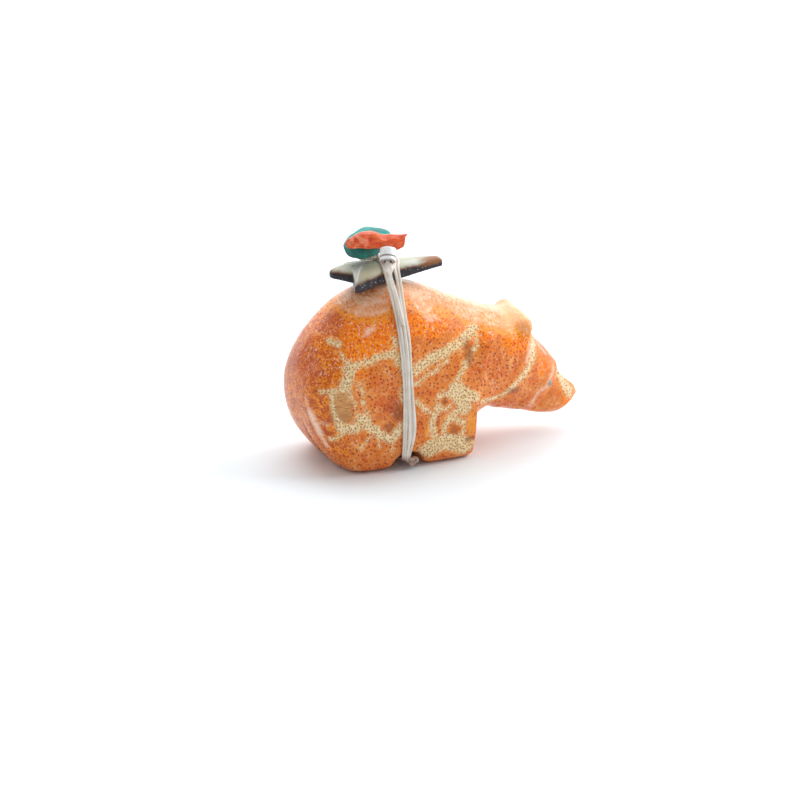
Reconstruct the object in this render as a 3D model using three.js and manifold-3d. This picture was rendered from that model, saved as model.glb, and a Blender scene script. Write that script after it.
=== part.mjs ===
// A small bear carved from porous coral, with a bundle of shell and stone tied on its back.
// Millimetres, +Z up. +X runs from the rump to the nose, and the bear's right flank faces -Y.
import * as THREE from 'three';
import { mergeVertices } from 'three/addons/utils/BufferGeometryUtils.js';
import Module from 'manifold-3d';

const wasm = await Module();
wasm.setup();

const fit = 0.3; // clear space kept between neighbouring pieces

// The bear's stations, rump to nose. Each is a plane across the body, given by the highest and
// lowest point of its outline as [x, z], its half width, and how square it is above and below.
const stations = [
  { at: 'rump tip', top: [-26.5, 13.0], bottom: [-26.5, 13.0], half: 0, above: 2, below: 2 },
  { at: 'rump', top: [-25.4, 18.2], bottom: [-25.8, 8.4], half: 6.4, above: 2, below: 2.4 },
  { at: 'hips', top: [-22.8, 23.0], bottom: [-24.1, 4.8], half: 9.1, above: 2, below: 3.2 },
  { at: 'thighs', top: [-19.6, 26.7], bottom: [-21.4, 1.4], half: 10.3, above: 2, below: 3.8 },
  { at: 'hind feet', top: [-15.8, 29.3], bottom: [-17.8, -1.6], half: 10.8, above: 2.1, below: 4.4 },
  { at: 'loin', top: [-11.2, 31.0], bottom: [-12.0, -2.0], half: 11.0, above: 2.1, below: 4.4 },
  { at: 'ribs', top: [-5.5, 30.1], bottom: [-6.0, -2.0], half: 10.8, above: 2.1, below: 4.4 },
  { at: 'shoulders', top: [-0.5, 28.0], bottom: [0.0, -2.0], half: 10.4, above: 2.1, below: 4.4 },
  { at: 'fore feet', top: [2.6, 26.5], bottom: [2.9, -1.4], half: 10.0, above: 2.1, below: 4.3 },
  { at: 'breast', top: [4.6, 25.6], bottom: [3.0, 2.4], half: 9.7, above: 2.1, below: 3.9 },
  { at: 'throat', top: [6.8, 24.7], bottom: [3.5, 5.3], half: 9.3, above: 2.2, below: 3.4 },
  { at: 'nape', top: [10.6, 23.1], bottom: [6.8, 6.6], half: 8.2, above: 2.3, below: 2.7 },
  { at: 'ears', top: [15.0, 20.2], bottom: [9.9, 5.65], half: 6.8, above: 2.3, below: 2.4 },
  { at: 'cheeks', top: [18.6, 16.4], bottom: [12.5, 4.95], half: 5.3, above: 2.2, below: 2.3 },
  { at: 'eyes', top: [21.85, 12.2], bottom: [15.3, 4.15], half: 3.9, above: 2.1, below: 2.2 },
  { at: 'muzzle', top: [24.1, 9.2], bottom: [19.4, 3.05], half: 3.0, above: 2, below: 2.2 },
  { at: 'nose', top: [25.8, 7.4], bottom: [23.0, 3.2], half: 2.0, above: 2, below: 2 },
  { at: 'nose tip', top: [26.5, 5.6], bottom: [26.5, 5.6], half: 0, above: 2, below: 2 },
];
const ringsInSpan = [4, 3, 4, 4, 4, 8, 3, 3, 3, 2, 3, 5, 6, 3, 5, 2, 3];
const ringSides = 48;
const waist = 0.46; // height of the widest line, as a share of each station's height
const crowding = 0.35; // how much closer the ring's points are set below than above

// Carving: the gap between fore and hind feet, and the groove between left and right ones
const notch = { x: -9.1, half: 2.7, height: 2.9, power: 2.6 };
const groove = {
  roof: 3.6, // height of its bottom above the ground
  flare: 0.42, // half width gained for each millimetre of depth
  lean: 0.22, // sideways drift of the groove for each millimetre of height, behind
  rear: { x: -25.9, z: 11.0, slope: 0.8 },
  front: { x: 5.4, z: 7.0, slope: 1.1, end: 6.4 },
  valley: { depth: 0.7, half: 2.6, low: 1, high: 13 },
};
// The ridge that carries the ears, and the two steps cut round the head
const earRidge = { x: 14.6, z: 20.85, tilt: 0.08, radius: 1.5, halfLength: 4.6, blend: 2.2 };
const earStep = { station: 12, rise: 0.8, run: 1.6, ramp: 0.3, low: 13, high: 20 };
const eyeStep = { station: 14, rise: 0.3, run: 1.3, ramp: 0.3, scoop: 0.35, low: 4.2, high: 6.7 };
const stationGap = 3; // mean distance between stations on the head

// Turquoise inlays, on the slope of the eye step
const eye = { place: 13.97, angle: 0.47, long: 0.8, across: 0.32, depth: 0.5, sunk: 0.25 };

// Shell arrowhead. Its outline goes from the stem's end to the blunt tip as [x, half width].
const arrowhead = {
  near: [[-19.4, 0.7], [-18.3, 1.7], [-15.6, 2.2], [-17.4, 6.4], [-14.7, 5.2], [-12.3, 4.0],
    [-9.5, 3.2], [-5.5, 2.3], [-2, 1.6], [0.7, 1.0]],
  far: [[-19.4, 0.7], [-18.3, 1.7], [-16.0, 2.4], [-15.6, 4.2], [-13.8, 4.6], [-12.0, 4.2],
    [-9.5, 3.7], [-5.5, 2.9], [-2, 2.1], [0.7, 1.3]],
  centre: -12.5,
  middle: 32.6, // height of its mid plane, over the middle
  rise: 0.026, // how much it climbs towards its tip, for each millimetre
  bend: 0.009, // how much its sides hang, times the square of the distance from its middle line
  stemLift: 0.6, // how far the stem's end bends up
  stemHalf: 3,
  thick: 2.5,
  thickAtEnds: 1.4,
  bluntness: { stem: 0.5, tip: 0.15 }, // how little its outline draws in lengthwise, towards its top
};

const nugget = {
  at: [-12.15, 1.6, 37.05], radii: [4.5, 3.15, 1.72], power: 2.8,
  turn: 0.64, // about the vertical
  roll: -0.117, // about its short axis
};

// Coral chip, as sections from its round end to its split tail
const chip = {
  y: -3.5,
  sections: [
    { x: -17.6, z: 39.05, high: 0.7, deep: 0.7 },
    { x: -16.6, z: 39.2, high: 1.08, deep: 1.05 },
    { x: -15.0, z: 39.35, high: 1.36, deep: 1.4 },
    { x: -13.0, z: 39.15, high: 1.45, deep: 1.45 },
    { x: -11.0, z: 38.65, high: 1.26, deep: 1.25 },
    { x: -9.0, z: 38.35, high: 1.29, deep: 1.05 },
    { x: -7.6, z: 38.4, high: 1.2, deep: 0.75 },
  ],
  ends: [[-18.1, 39.0], [-7.45, 38.6]],
  tailLean: 0.5, // how far the tail's upper corner reaches past its middle
};

// Shell beads, threaded on a line that leans back towards the bundle
const bead = { radius: 1.3, bore: 0.68, at: [-11.62, -6.45, 37.2], axis: [0.25, 0.57, 0.78] };
const beadLengths = { shell_bead_upper: 1.45, shell_bead_lower: 0.55 };

// Thread. The winding is a flat band round body and arrowhead, given as [y, z] for one side.
const winding = {
  x: -10.1,
  halfWidth: 0.95,
  halfThick: 0.3,
  halfThickOnTop: 0.15,
  side: [[0, 1.5], [5, 1.5], [9.4, 1.5], [11.2, 2.9], [11.7, 7.5], [11.7, 13.5], [11.3, 18.5],
    [9.95, 23.4], [7.6, 28.0], [5.2, 31.8], [3.7, 33.9], [0, 34.35]],
};
const strand = {
  radius: 0.28,
  drill: 0.62,
  route: [[-10.0, -9.2, 25.6], [-10.7, -8.2, 30.0], [-11.6, -7.7, 33.9], [-11.94, -7.18, 36.2],
    [-11.62, -6.45, 37.2], [-11.32, -5.77, 38.12], [-11.1, -4.6, 38.45], [-10.9, -2.9, 38.15],
    [-11.0, -0.9, 37.5], [-11.3, 1.6, 37.1], [-11.2, 4.0, 36.9], [-10.8, 6.3, 35.6],
    [-10.3, 7.4, 32.6], [-10.1, 8.3, 29.2], [-10.1, 9.5, 25.0]],
};
const knot = { at: [-8.8, -10.1, 1.35], radii: [1.2, 0.95, 0.85] };

// Smooth curve through evenly counted values, read at a place between 0 and the last index
function through(values, place) {
  const last = values.length - 1;
  const k = Math.min(Math.floor(place), last - 1);
  const f = place - k;
  const a = values[Math.max(k - 1, 0)];
  const b = values[k];
  const c = values[k + 1];
  const d = values[Math.min(k + 2, last)];
  return b + 0.5 * f * (c - a + f * (2 * a - 5 * b + 4 * c - d + f * (3 * (b - c) + d - a)));
}

// Smaller or larger of two distances, with the corner between them rounded over a width
function softMin(a, b, width) {
  const h = Math.max(width - Math.abs(a - b), 0) / width;
  return Math.min(a, b) - 0.25 * h * h * width;
}
const softMax = (a, b, width) => -softMin(-a, -b, width);
const clamp01 = (v) => Math.min(1, Math.max(0, v));
const smooth = (v) => clamp01(v) ** 2 * (3 - 2 * clamp01(v));

// The plane and the section sizes at a place along the stations
function section(place) {
  const read = (key, i) => through(stations.map((s) => (i === undefined ? s[key] : s[key][i])), place);
  const top = new THREE.Vector3(read('top', 0), 0, read('top', 1));
  const bottom = new THREE.Vector3(read('bottom', 0), 0, read('bottom', 1));
  const centre = bottom.clone().lerp(top, waist);
  const up = top.clone().sub(bottom);
  const height = up.length();
  up.divideScalar(height || 1);
  return { centre, up, high: height * (1 - waist), low: height * waist, half: read('half'),
    above: read('above'), below: read('below') };
}

// How far the plain section reaches from its centre in the direction of an angle
function reach(s, angle) {
  const upward = Math.sin(angle) > 0;
  const power = upward ? s.above : s.below;
  const across = Math.abs(Math.cos(angle)) / s.half;
  const along = Math.abs(Math.sin(angle)) / (upward ? s.high : s.low);
  return (across ** power + along ** power) ** (-1 / power);
}

// Extra height of a step that rises towards a station and drops just past it
function step(place, shape) {
  const behind = smooth(1 + (place - shape.station) / shape.run);
  const ahead = 1 - smooth((place - shape.station) / shape.ramp);
  return shape.rise * (place < shape.station ? behind : ahead);
}

// Positive outside the carved bear; the distance is the one measured along the ray
function outside(p, place, beyond) {
  const earSide = smooth((p.z - earStep.low) / (earStep.high - earStep.low));
  const eyeSide = smooth((p.z - eyeStep.low) / (eyeStep.high - eyeStep.low));
  const scooped = eyeStep.scoop * smooth((place - eyeStep.station) / eyeStep.ramp)
    * smooth((stations.length - 1 - place) / 2);
  const { rear, front, valley } = groove;
  const middle = -groove.lean * p.z * smooth((8 - place) / 3);
  const hollow = valley.depth * Math.exp(-(((p.y - middle) / valley.half) ** 2))
    * smooth(p.z - valley.low) * smooth((valley.high - p.z) / 3) * smooth(4 - place);
  let d = beyond - step(place, earStep) * earSide + (scooped - step(place, eyeStep)) * eyeSide + hollow;
  const overEnd = Math.max(Math.abs(p.y) - earRidge.halfLength, 0);
  const overRidge = p.z - earRidge.z - earRidge.tilt * p.y;
  const ridge = Math.hypot(p.x - earRidge.x, overRidge, overEnd) - earRidge.radius;
  const aheadOfEars = (place - earStep.station) * stationGap;
  d = softMin(d, softMax(ridge, aheadOfEars, 0.3), earRidge.blend * (1 - smooth(aheadOfEars * 1.2)) + 0.05);
  const inNotch = 1 - (Math.abs((p.x - notch.x) / notch.half) ** notch.power
    + Math.abs(p.z / notch.height) ** notch.power) ** (1 / notch.power);
  d = softMax(d, inNotch * notch.half, 0.8);
  const behind = (rear.z - p.z - rear.slope * (p.x - rear.x)) / Math.hypot(1, rear.slope);
  const before = (front.z - p.z + front.slope * (p.x - front.x)) / Math.hypot(1, front.slope);
  const under = softMax(groove.roof - p.z, behind, 3);
  const deep = softMax(under, Math.min(before, front.end - p.x), 3);
  return softMax(d, (groove.flare * deep - Math.abs(p.y - middle)) / Math.hypot(1, groove.flare), 0.7);
}

// Point of the carved surface at a place along the stations and an angle round them
function surface(place, angle, s = section(place)) {
  const ray = s.up.clone().multiplyScalar(Math.sin(angle));
  ray.y += Math.cos(angle);
  const plain = reach(s, angle);
  let inner = 0;
  let outer = plain * 1.2 + 4;
  for (let i = 0; i < 30; i += 1) {
    const middle = (inner + outer) / 2;
    const p = s.centre.clone().addScaledVector(ray, middle);
    if (outside(p, place, middle - plain) > 0) {
      outer = middle;
    } else {
      inner = middle;
    }
  }
  const p = s.centre.clone().addScaledVector(ray, inner);
  if (p.z < 0) {
    p.copy(s.centre).addScaledVector(ray, -s.centre.z / ray.z);
    p.z = 0;
  }
  return p;
}

// Closed skin over rings of points, with one point at each end
function skin(rings, first, last) {
  const sides = rings[0].length;
  const points = [first, ...rings.flat(), last];
  const at = (ring, side) => 1 + ring * sides + (side % sides);
  const faces = [];
  for (let j = 0; j < sides; j += 1) {
    faces.push(0, at(0, j + 1), at(0, j));
    faces.push(points.length - 1, at(rings.length - 1, j), at(rings.length - 1, j + 1));
  }
  for (let i = 0; i < rings.length - 1; i += 1) {
    for (let j = 0; j < sides; j += 1) {
      faces.push(at(i, j), at(i, j + 1), at(i + 1, j));
      faces.push(at(i, j + 1), at(i + 1, j + 1), at(i + 1, j));
    }
  }
  const geometry = new THREE.BufferGeometry();
  geometry.setAttribute('position', new THREE.Float32BufferAttribute(points.flatMap((p) => p.toArray()), 3));
  geometry.setIndex(faces);
  return geometry;
}

function toSolid(geometry, matrix = new THREE.Matrix4()) {
  const plain = geometry.clone().applyMatrix4(matrix);
  plain.deleteAttribute('normal');
  plain.deleteAttribute('uv');
  const merged = mergeVertices(plain, 1e-4);
  const mesh = new wasm.Mesh({
    numProp: 3,
    vertProperties: new Float32Array(merged.attributes.position.array),
    triVerts: new Uint32Array(merged.index.array),
  });
  return new wasm.Manifold(mesh);
}

function toGeometry(solid) {
  const mesh = solid.getMesh();
  const geometry = new THREE.BufferGeometry();
  geometry.setAttribute('position', new THREE.BufferAttribute(new Float32Array(mesh.vertProperties), 3));
  geometry.setIndex(new THREE.BufferAttribute(new Uint32Array(mesh.triVerts), 1));
  geometry.computeVertexNormals();
  return geometry;
}

function bearGeometry() {
  const rings = [];
  const ends = stations.length - 1;
  ringsInSpan.forEach((count, span) => {
    for (let i = span ? 0 : 1; i < count; i += 1) {
      const place = span + i / count;
      const s = section(place);
      rings.push(Array.from({ length: ringSides }, (_, j) => {
        const turn = (2 * Math.PI * j) / ringSides;
        return surface(place, turn - crowding * Math.sin(turn) - Math.PI / 2, s);
      }));
    }
  });
  return skin(rings, section(0).centre, section(ends).centre);
}

// Places an oval of the eye's outline on the bear, at its right (-1) or left (1) side
function eyeMatrix(side) {
  const angle = side < 0 ? Math.PI - eye.angle : eye.angle;
  const at = surface(eye.place, angle);
  const ahead = surface(eye.place + eyeStep.ramp, angle).sub(at);
  const above = surface(eye.place, angle + side * -0.1).sub(at);
  const out = new THREE.Vector3().crossVectors(ahead, above).normalize();
  out.multiplyScalar(Math.sign(out.y) * side);
  const along = above.normalize();
  const across = new THREE.Vector3().crossVectors(along, out);
  return new THREE.Matrix4().makeBasis(across, along, out).setPosition(at.addScaledVector(out, -eye.sunk));
}

function eyeGeometry(side, extra) {
  const oval = new THREE.SphereGeometry(1, 12, 8);
  oval.scale(eye.across + extra, eye.long + extra, eye.depth + extra);
  return oval.applyMatrix4(eyeMatrix(side));
}

function carvedBear() {
  let solid = toSolid(bearGeometry());
  for (const side of [-1, 1]) {
    solid = solid.subtract(toSolid(eyeGeometry(side, fit)));
  }
  return solid;
}

// Thickness of the arrowhead at a place along it: full in the middle, thinner at both ends
function arrowheadThickness(x) {
  const { near, thick, thickAtEnds } = arrowhead;
  const fromStem = smooth((x - near[0][0]) / 4);
  const fromTip = smooth((near[near.length - 1][0] - x) / 12);
  return thickAtEnds + (thick - thickAtEnds) * Math.min(fromStem, fromTip);
}

function arrowheadSolid() {
  const { near, far, centre, middle, rise, bend, stemLift, stemHalf, bluntness } = arrowhead;
  const stem = centre - near[0][0];
  const edge = [...near.map(([x, half]) => [x, -half]), ...far.map(([x, half]) => [x, half]).reverse()];
  const point = (x, y, height) => {
    const inStem = smooth((centre - x) / stem) * (1 - smooth((Math.abs(y) - stemHalf + 1) / stemHalf));
    const lift = rise * (x - centre) - bend * y * y + stemLift * inStem
      + arrowheadThickness(x) * (height - 0.5);
    return new THREE.Vector3(x, y, middle + lift);
  };
  const ring = (share, height) => (
    edge.map(([x, y]) => {
      const power = x < centre ? bluntness.stem : bluntness.tip;
      return point(centre + (x - centre) * share ** power, y * share, height);
    })
  );
  const rings = [ring(0.5, 0), ring(0.93, 0), ring(1, 0.14), ring(1, 0.5), ring(0.94, 0.68),
    ring(0.8, 0.85), ring(0.5, 0.97)];
  return toSolid(skin(rings, point(centre, 0, 0), point(centre, 0, 1)));
}

function nuggetSolid() {
  const stone = new THREE.SphereGeometry(1, 20, 12);
  const place = stone.attributes.position;
  for (let i = 0; i < place.count; i += 1) {
    const p = new THREE.Vector3().fromBufferAttribute(place, i);
    const { power } = nugget;
    const size = (Math.abs(p.x) ** power + Math.abs(p.y) ** power + Math.abs(p.z) ** power) ** (1 / power);
    p.divideScalar(size).multiply(new THREE.Vector3(...nugget.radii));
    place.setXYZ(i, ...p.toArray());
  }
  const turned = new THREE.Matrix4().makeRotationZ(nugget.turn)
    .multiply(new THREE.Matrix4().makeRotationY(nugget.roll));
  return toSolid(stone, turned.setPosition(...nugget.at));
}

function chipSolid() {
  const sides = 14;
  const tail = chip.sections.length - 1;
  const rings = chip.sections.map(({ x, z, high, deep }, i) => Array.from({ length: sides }, (_, j) => {
    const turn = (2 * Math.PI * j) / sides;
    const lean = i === tail ? chip.tailLean * Math.sin(turn) : 0;
    return new THREE.Vector3(x + lean, chip.y + deep * Math.cos(turn), z + high * Math.sin(turn));
  }));
  const [first, last] = chip.ends.map(([x, z]) => new THREE.Vector3(x, chip.y, z));
  return toSolid(skin(rings, first, last));
}

// Round thread along the strand's route, at a radius
function threadGeometry(radius) {
  const corners = Array.from({ length: 6 }, (_, i) => new THREE.Vector2(radius, 0)
    .rotateAround(new THREE.Vector2(), (i * Math.PI) / 3));
  const path = new THREE.CatmullRomCurve3(strand.route.map((p) => new THREE.Vector3(...p)));
  return new THREE.ExtrudeGeometry(new THREE.Shape(corners), { steps: 34, extrudePath: path });
}

function beadSolid(length, offset) {
  const { radius, bore } = bead;
  const profile = [[bore, 0], [radius, 0], [radius, length], [bore, length], [bore, 0]];
  const ring = new THREE.LatheGeometry(profile.map(([r, y]) => new THREE.Vector2(r, y)), 20);
  const axis = new THREE.Vector3(...bead.axis);
  const turn = new THREE.Quaternion().setFromUnitVectors(new THREE.Vector3(0, 1, 0), axis);
  const at = new THREE.Vector3(...bead.at).addScaledVector(axis, offset);
  return toSolid(ring, new THREE.Matrix4().compose(at, turn, new THREE.Vector3(1, 1, 1)));
}

// The flat winding: a closed band, wide along x, round the mirrored side points
function windingSolid() {
  const { side, halfWidth, halfThick, halfThickOnTop, x } = winding;
  const left = side.slice(1, -1).map(([y, z]) => [-y, z]).reverse();
  const line = [...side, ...left].map(([y, z]) => new THREE.Vector3(x, y, z));
  const path = new THREE.CatmullRomCurve3(line, true);
  const count = 60;
  const sides = 6;
  const points = [];
  const faces = [];
  for (let i = 0; i < count; i += 1) {
    const at = path.getPointAt(i / count);
    const along = path.getTangentAt(i / count);
    const wide = new THREE.Vector3(1, 0, 0);
    const out = new THREE.Vector3().crossVectors(along, wide).normalize();
    const thin = at.z > side[side.length - 2][1] - 1 ? halfThickOnTop : halfThick;
    for (let j = 0; j < sides; j += 1) {
      const turn = (2 * Math.PI * (j + 0.5)) / sides;
      points.push(at.clone().addScaledVector(wide, halfWidth * Math.cos(turn))
        .addScaledVector(out, thin * Math.sin(turn)));
      const next = ((i + 1) % count) * sides;
      const beside = (j + 1) % sides;
      faces.push(i * sides + j, i * sides + beside, next + j);
      faces.push(i * sides + beside, next + beside, next + j);
    }
  }
  const geometry = new THREE.BufferGeometry();
  geometry.setAttribute('position', new THREE.Float32BufferAttribute(points.flatMap((p) => p.toArray()), 3));
  geometry.setIndex(faces);
  return toSolid(geometry);
}

function tieSolid() {
  const lump = new THREE.SphereGeometry(1, 12, 8);
  const place = new THREE.Matrix4().makeScale(...knot.radii).setPosition(...knot.at);
  return windingSolid().add(toSolid(threadGeometry(strand.radius))).add(toSolid(lump, place));
}

const finishes = {
  coral: { color: 0xd9813f, roughness: 0.28, metalness: 0 },
  turquoise: { color: 0x1f8f80, roughness: 0.35, metalness: 0 },
  redCoral: { color: 0xd9512f, roughness: 0.3, metalness: 0 },
  darkShell: { color: 0xb9ad94, roughness: 0.35, metalness: 0 },
  whiteShell: { color: 0xe9e6e2, roughness: 0.35, metalness: 0 },
  sinew: { color: 0xd8cdb8, roughness: 0.45, metalness: 0 },
};

const group = new THREE.Group();
function addPiece(name, solid, finish) {
  const mesh = new THREE.Mesh(toGeometry(solid), new THREE.MeshStandardMaterial(finishes[finish]));
  mesh.name = name;
  group.add(mesh);
}

const drill = toSolid(threadGeometry(strand.drill));
addPiece('bear', carvedBear(), 'coral');
addPiece('eye_right', toSolid(eyeGeometry(-1, 0)), 'turquoise');
addPiece('eye_left', toSolid(eyeGeometry(1, 0)), 'turquoise');
addPiece('arrowhead', arrowheadSolid(), 'darkShell');
addPiece('turquoise_nugget', nuggetSolid().subtract(drill), 'turquoise');
addPiece('coral_chip', chipSolid().subtract(drill), 'redCoral');
const beadsLong = beadLengths.shell_bead_upper + beadLengths.shell_bead_lower + fit;
addPiece('shell_bead_lower', beadSolid(beadLengths.shell_bead_lower, -beadsLong / 2), 'whiteShell');
addPiece('shell_bead_upper', beadSolid(beadLengths.shell_bead_upper,
  beadsLong / 2 - beadLengths.shell_bead_upper), 'whiteShell');
addPiece('sinew_tie', tieSolid(), 'sinew');

// The origin is on the ground, under the middle of the whole figure
const box = new THREE.Box3().setFromObject(group);
const middle = box.getCenter(new THREE.Vector3());
group.position.set(-middle.x, -middle.y, -box.min.z);

export default group;
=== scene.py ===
# A small coral bear with its bundle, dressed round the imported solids.
# Shapes are worked out in millimetres and scaled to metres when a mesh is made.
from math import cos, pi, radians, sin, tan

import bpy
import numpy as np
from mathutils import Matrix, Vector
from mathutils.bvhtree import BVHTree


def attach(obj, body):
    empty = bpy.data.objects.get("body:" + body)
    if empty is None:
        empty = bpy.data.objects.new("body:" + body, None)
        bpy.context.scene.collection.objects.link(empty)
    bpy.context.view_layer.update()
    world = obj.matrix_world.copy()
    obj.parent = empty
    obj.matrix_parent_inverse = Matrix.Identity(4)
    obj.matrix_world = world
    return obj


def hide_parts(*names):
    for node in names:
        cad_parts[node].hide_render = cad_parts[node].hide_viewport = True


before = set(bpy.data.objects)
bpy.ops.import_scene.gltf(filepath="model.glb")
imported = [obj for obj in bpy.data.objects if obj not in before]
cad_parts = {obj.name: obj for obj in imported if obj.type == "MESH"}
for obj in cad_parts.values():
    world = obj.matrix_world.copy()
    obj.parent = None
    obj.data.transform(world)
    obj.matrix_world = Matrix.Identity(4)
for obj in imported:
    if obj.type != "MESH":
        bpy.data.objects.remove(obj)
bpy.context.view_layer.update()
mm = 0.001
print("frame loaded:", ", ".join(sorted(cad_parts)))

# the camera, placed as the photograph was taken

cameraView = {
    "azimuth": -22.5,      # degrees, 0 looks along +Y
    "elevation": 20,
    "distance": 650,
    "fieldOfView": 12.1,
    "target": (-4.83, 4.71, 6.89),
}


def directionTo(azimuth, elevation):
    a, e = radians(azimuth), radians(elevation)
    return Vector((sin(a) * cos(e), -cos(a) * cos(e), sin(e)))


def addToScene(name, data):
    made = bpy.data.objects.new(name, data)
    bpy.context.scene.collection.objects.link(made)
    return made


def standAt(thing, place, outward):
    # puts the camera or a light at a place, looking inward
    thing.location = place
    thing.rotation_mode = "QUATERNION"
    thing.rotation_quaternion = outward.to_track_quat("Z", "Y")


def makeCamera():
    back = directionTo(cameraView["azimuth"], cameraView["elevation"])
    lens = bpy.data.cameras.new("camera")
    lens.sensor_fit = "HORIZONTAL"
    lens.lens = lens.sensor_width / 2 / tan(radians(cameraView["fieldOfView"]) / 2)
    lens.clip_start, lens.clip_end = 0.01, 20
    camera = addToScene("camera", lens)
    standAt(camera, (Vector(cameraView["target"]) + back * cameraView["distance"]) * mm, back)
    bpy.context.scene.camera = camera


makeCamera()


# shader arithmetic

def paint(red, green, blue):
    # screen colour, 0 to 255, as the linear colour that shaders use
    def linear(v):
        v /= 255
        return v / 12.92 if v <= 0.04045 else ((v + 0.055) / 1.055) ** 2.4
    return (linear(red), linear(green), linear(blue), 1.0)


class Wire:
    # wraps a socket, so that sums on it add the nodes they need
    def __init__(self, tree, socket=None):
        self.tree = tree
        self.socket = socket

    def node(self, kind, settings=None, inputs=None, output=0):
        # output is a socket's name or number, or a list of them
        made = self.tree.nodes.new("ShaderNode" + kind)
        for key, value in (settings or {}).items():
            if key == "stops":
                ramp = made.color_ramp
                while len(ramp.elements) < len(value):
                    ramp.elements.new(0.5)
                for element, (position, colour) in zip(ramp.elements, value):
                    element.position = position
                    element.color = colour
            else:
                setattr(made, key, value)
        for key, value in (inputs or {}).items():
            if isinstance(value, Wire):
                self.tree.links.new(value.socket, made.inputs[key])
            else:
                made.inputs[key].default_value = value
        if isinstance(output, list):
            return [Wire(self.tree, made.outputs[each]) for each in output]
        return Wire(self.tree, made.outputs[output])

    def math(self, operation, *values):
        return self.node("Math", {"operation": operation}, dict(enumerate(values)))

    def __add__(self, other):
        return self.math("ADD", self, other)

    __radd__ = __add__

    def __mul__(self, other):
        return self.math("MULTIPLY", self, other)

    __rmul__ = __mul__

    def __sub__(self, other):
        return self.math("SUBTRACT", self, other)

    def __rsub__(self, other):
        return self.math("SUBTRACT", other, self)

    def between(self, low, high, start=0.0, end=1.0):
        # start at low and end at high, with a soft passage
        return self.node("MapRange", {"interpolation_type": "SMOOTHSTEP"},
                         {0: self, 1: low, 2: high, 3: start, 4: end})

    def blend(self, low, high):
        # from the low colour to the high one, by this share
        return self.node("Mix", {"data_type": "RGBA"}, {0: self, 6: low, 7: high}, output=2)

    def mix(self, other, share):
        # this colour, giving way to the other by a share
        return share.blend(self, other)

    def stretched(self, scale):
        return self.node("VectorMath", {"operation": "MULTIPLY"}, {0: self, 1: scale})

    def ramp(self, *stops):
        # each stop is a place from 0 to 1, then its red, green and blue
        stops = [(at, paint(*colour)) for at, *colour in stops]
        return self.node("ValToRGB", {"stops": stops}, {0: self})


class Finish:
    # a material with one Principled shader and places measured in millimetres
    def __init__(self, name, **constants):
        self.material = bpy.data.materials.new(name)
        self.material.use_nodes = True
        tree = self.material.node_tree
        tree.nodes.clear()
        self.start = Wire(tree)
        output = tree.nodes.new("ShaderNodeOutputMaterial")
        self.shader = tree.nodes.new("ShaderNodeBsdfPrincipled")
        tree.links.new(self.shader.outputs[0], output.inputs[0])
        for socket, value in constants.items():
            self.shader.inputs[socket.replace("_", " ")].default_value = value
        self.place = self.start.node("TexCoord", output="Object").stretched((1 / mm,) * 3)

    def noise(self, scale, detail=2.0, roughness=0.5, stretch=None, distortion=0.0, place=None):
        place = place or self.place
        if stretch:
            place = place.stretched(stretch)
        return self.start.node("TexNoise", {}, {
            "Vector": place, "Scale": scale, "Detail": detail, "Roughness": roughness,
            "Distortion": distortion})

    def cells(self, spacing, randomness=1.0, feature="F1", flat=None):
        # distance from scattered points; on a flat place they are the ends of tubes
        dimensions = "2D" if flat else "3D"
        return self.start.node("TexVoronoi", {"feature": feature, "voronoi_dimensions": dimensions}, {
            "Vector": flat or self.place, "Scale": 1 / spacing, "Randomness": randomness}, "Distance")

    def attribute(self, name, output="Fac"):
        return self.start.node("Attribute", {"attribute_name": name}, output=output)

    def parts(self, vector):
        return self.start.node("SeparateXYZ", {}, {0: vector}, output=[0, 1, 2])

    def feed(self, **wires):
        for socket, wire in wires.items():
            self.start.tree.links.new(wire.socket, self.shader.inputs[socket.replace("_", " ")])

    def bump(self, height, distance, strength=1.0):
        # height in 0 to 1, standing for a distance in millimetres
        self.feed(Normal=self.start.node("Bump", {}, {
            "Height": height, "Distance": distance * mm, "Strength": strength}))


# meshes

def makePiece(name, points, faces, finish, nodes=(), values=None):
    mesh = bpy.data.meshes.new(name)
    mesh.from_pydata((np.asarray(points, float) * mm).tolist(), [], faces)
    mesh.polygons.foreach_set("use_smooth", [True] * len(mesh.polygons))
    for key, value in (values or {}).items():
        value = np.asarray(value, np.float32)
        if value.ndim == 1:
            mesh.attributes.new(key, "FLOAT", "POINT").data.foreach_set("value", value)
        else:
            shade = np.ones((len(value), 4), np.float32)
            shade[:, :value.shape[1]] = value
            mesh.attributes.new(key, "FLOAT_COLOR", "POINT").data.foreach_set("color", shade.ravel())
    mesh.materials.append(finish.material)
    mesh.update()
    piece = addToScene(name, mesh)
    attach(piece, "root")
    if nodes:
        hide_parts(*nodes)
    print("made", name, "with", len(mesh.polygons), "faces")
    return piece


def ringFaces(rings, sides, closedAlong=False):
    # quads between rings of points; without closing, points 0 and last are the ends
    first = 0 if closedAlong else 1
    ring = np.arange(rings if closedAlong else rings - 1)[:, None]
    side = np.arange(sides)[None, :]
    nextRing = (ring + 1) % rings
    nextSide = (side + 1) % sides
    quads = np.stack([first + ring * sides + side, first + ring * sides + nextSide,
                      first + nextRing * sides + nextSide, first + nextRing * sides + side], -1)
    faces = quads.reshape(-1, 4).tolist()
    if not closedAlong:
        last = 1 + rings * sides
        for j in range(sides):
            k = (j + 1) % sides
            faces.append([0, 1 + k, 1 + j])
            faces.append([last, 1 + (rings - 1) * sides + j, 1 + (rings - 1) * sides + k])
    return faces


def skin(rings, first, last):
    # closed skin over an array of rings, with one point at each end
    points = np.concatenate([[first], rings.reshape(-1, 3), [last]])
    return points, ringFaces(rings.shape[0], rings.shape[1])


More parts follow.
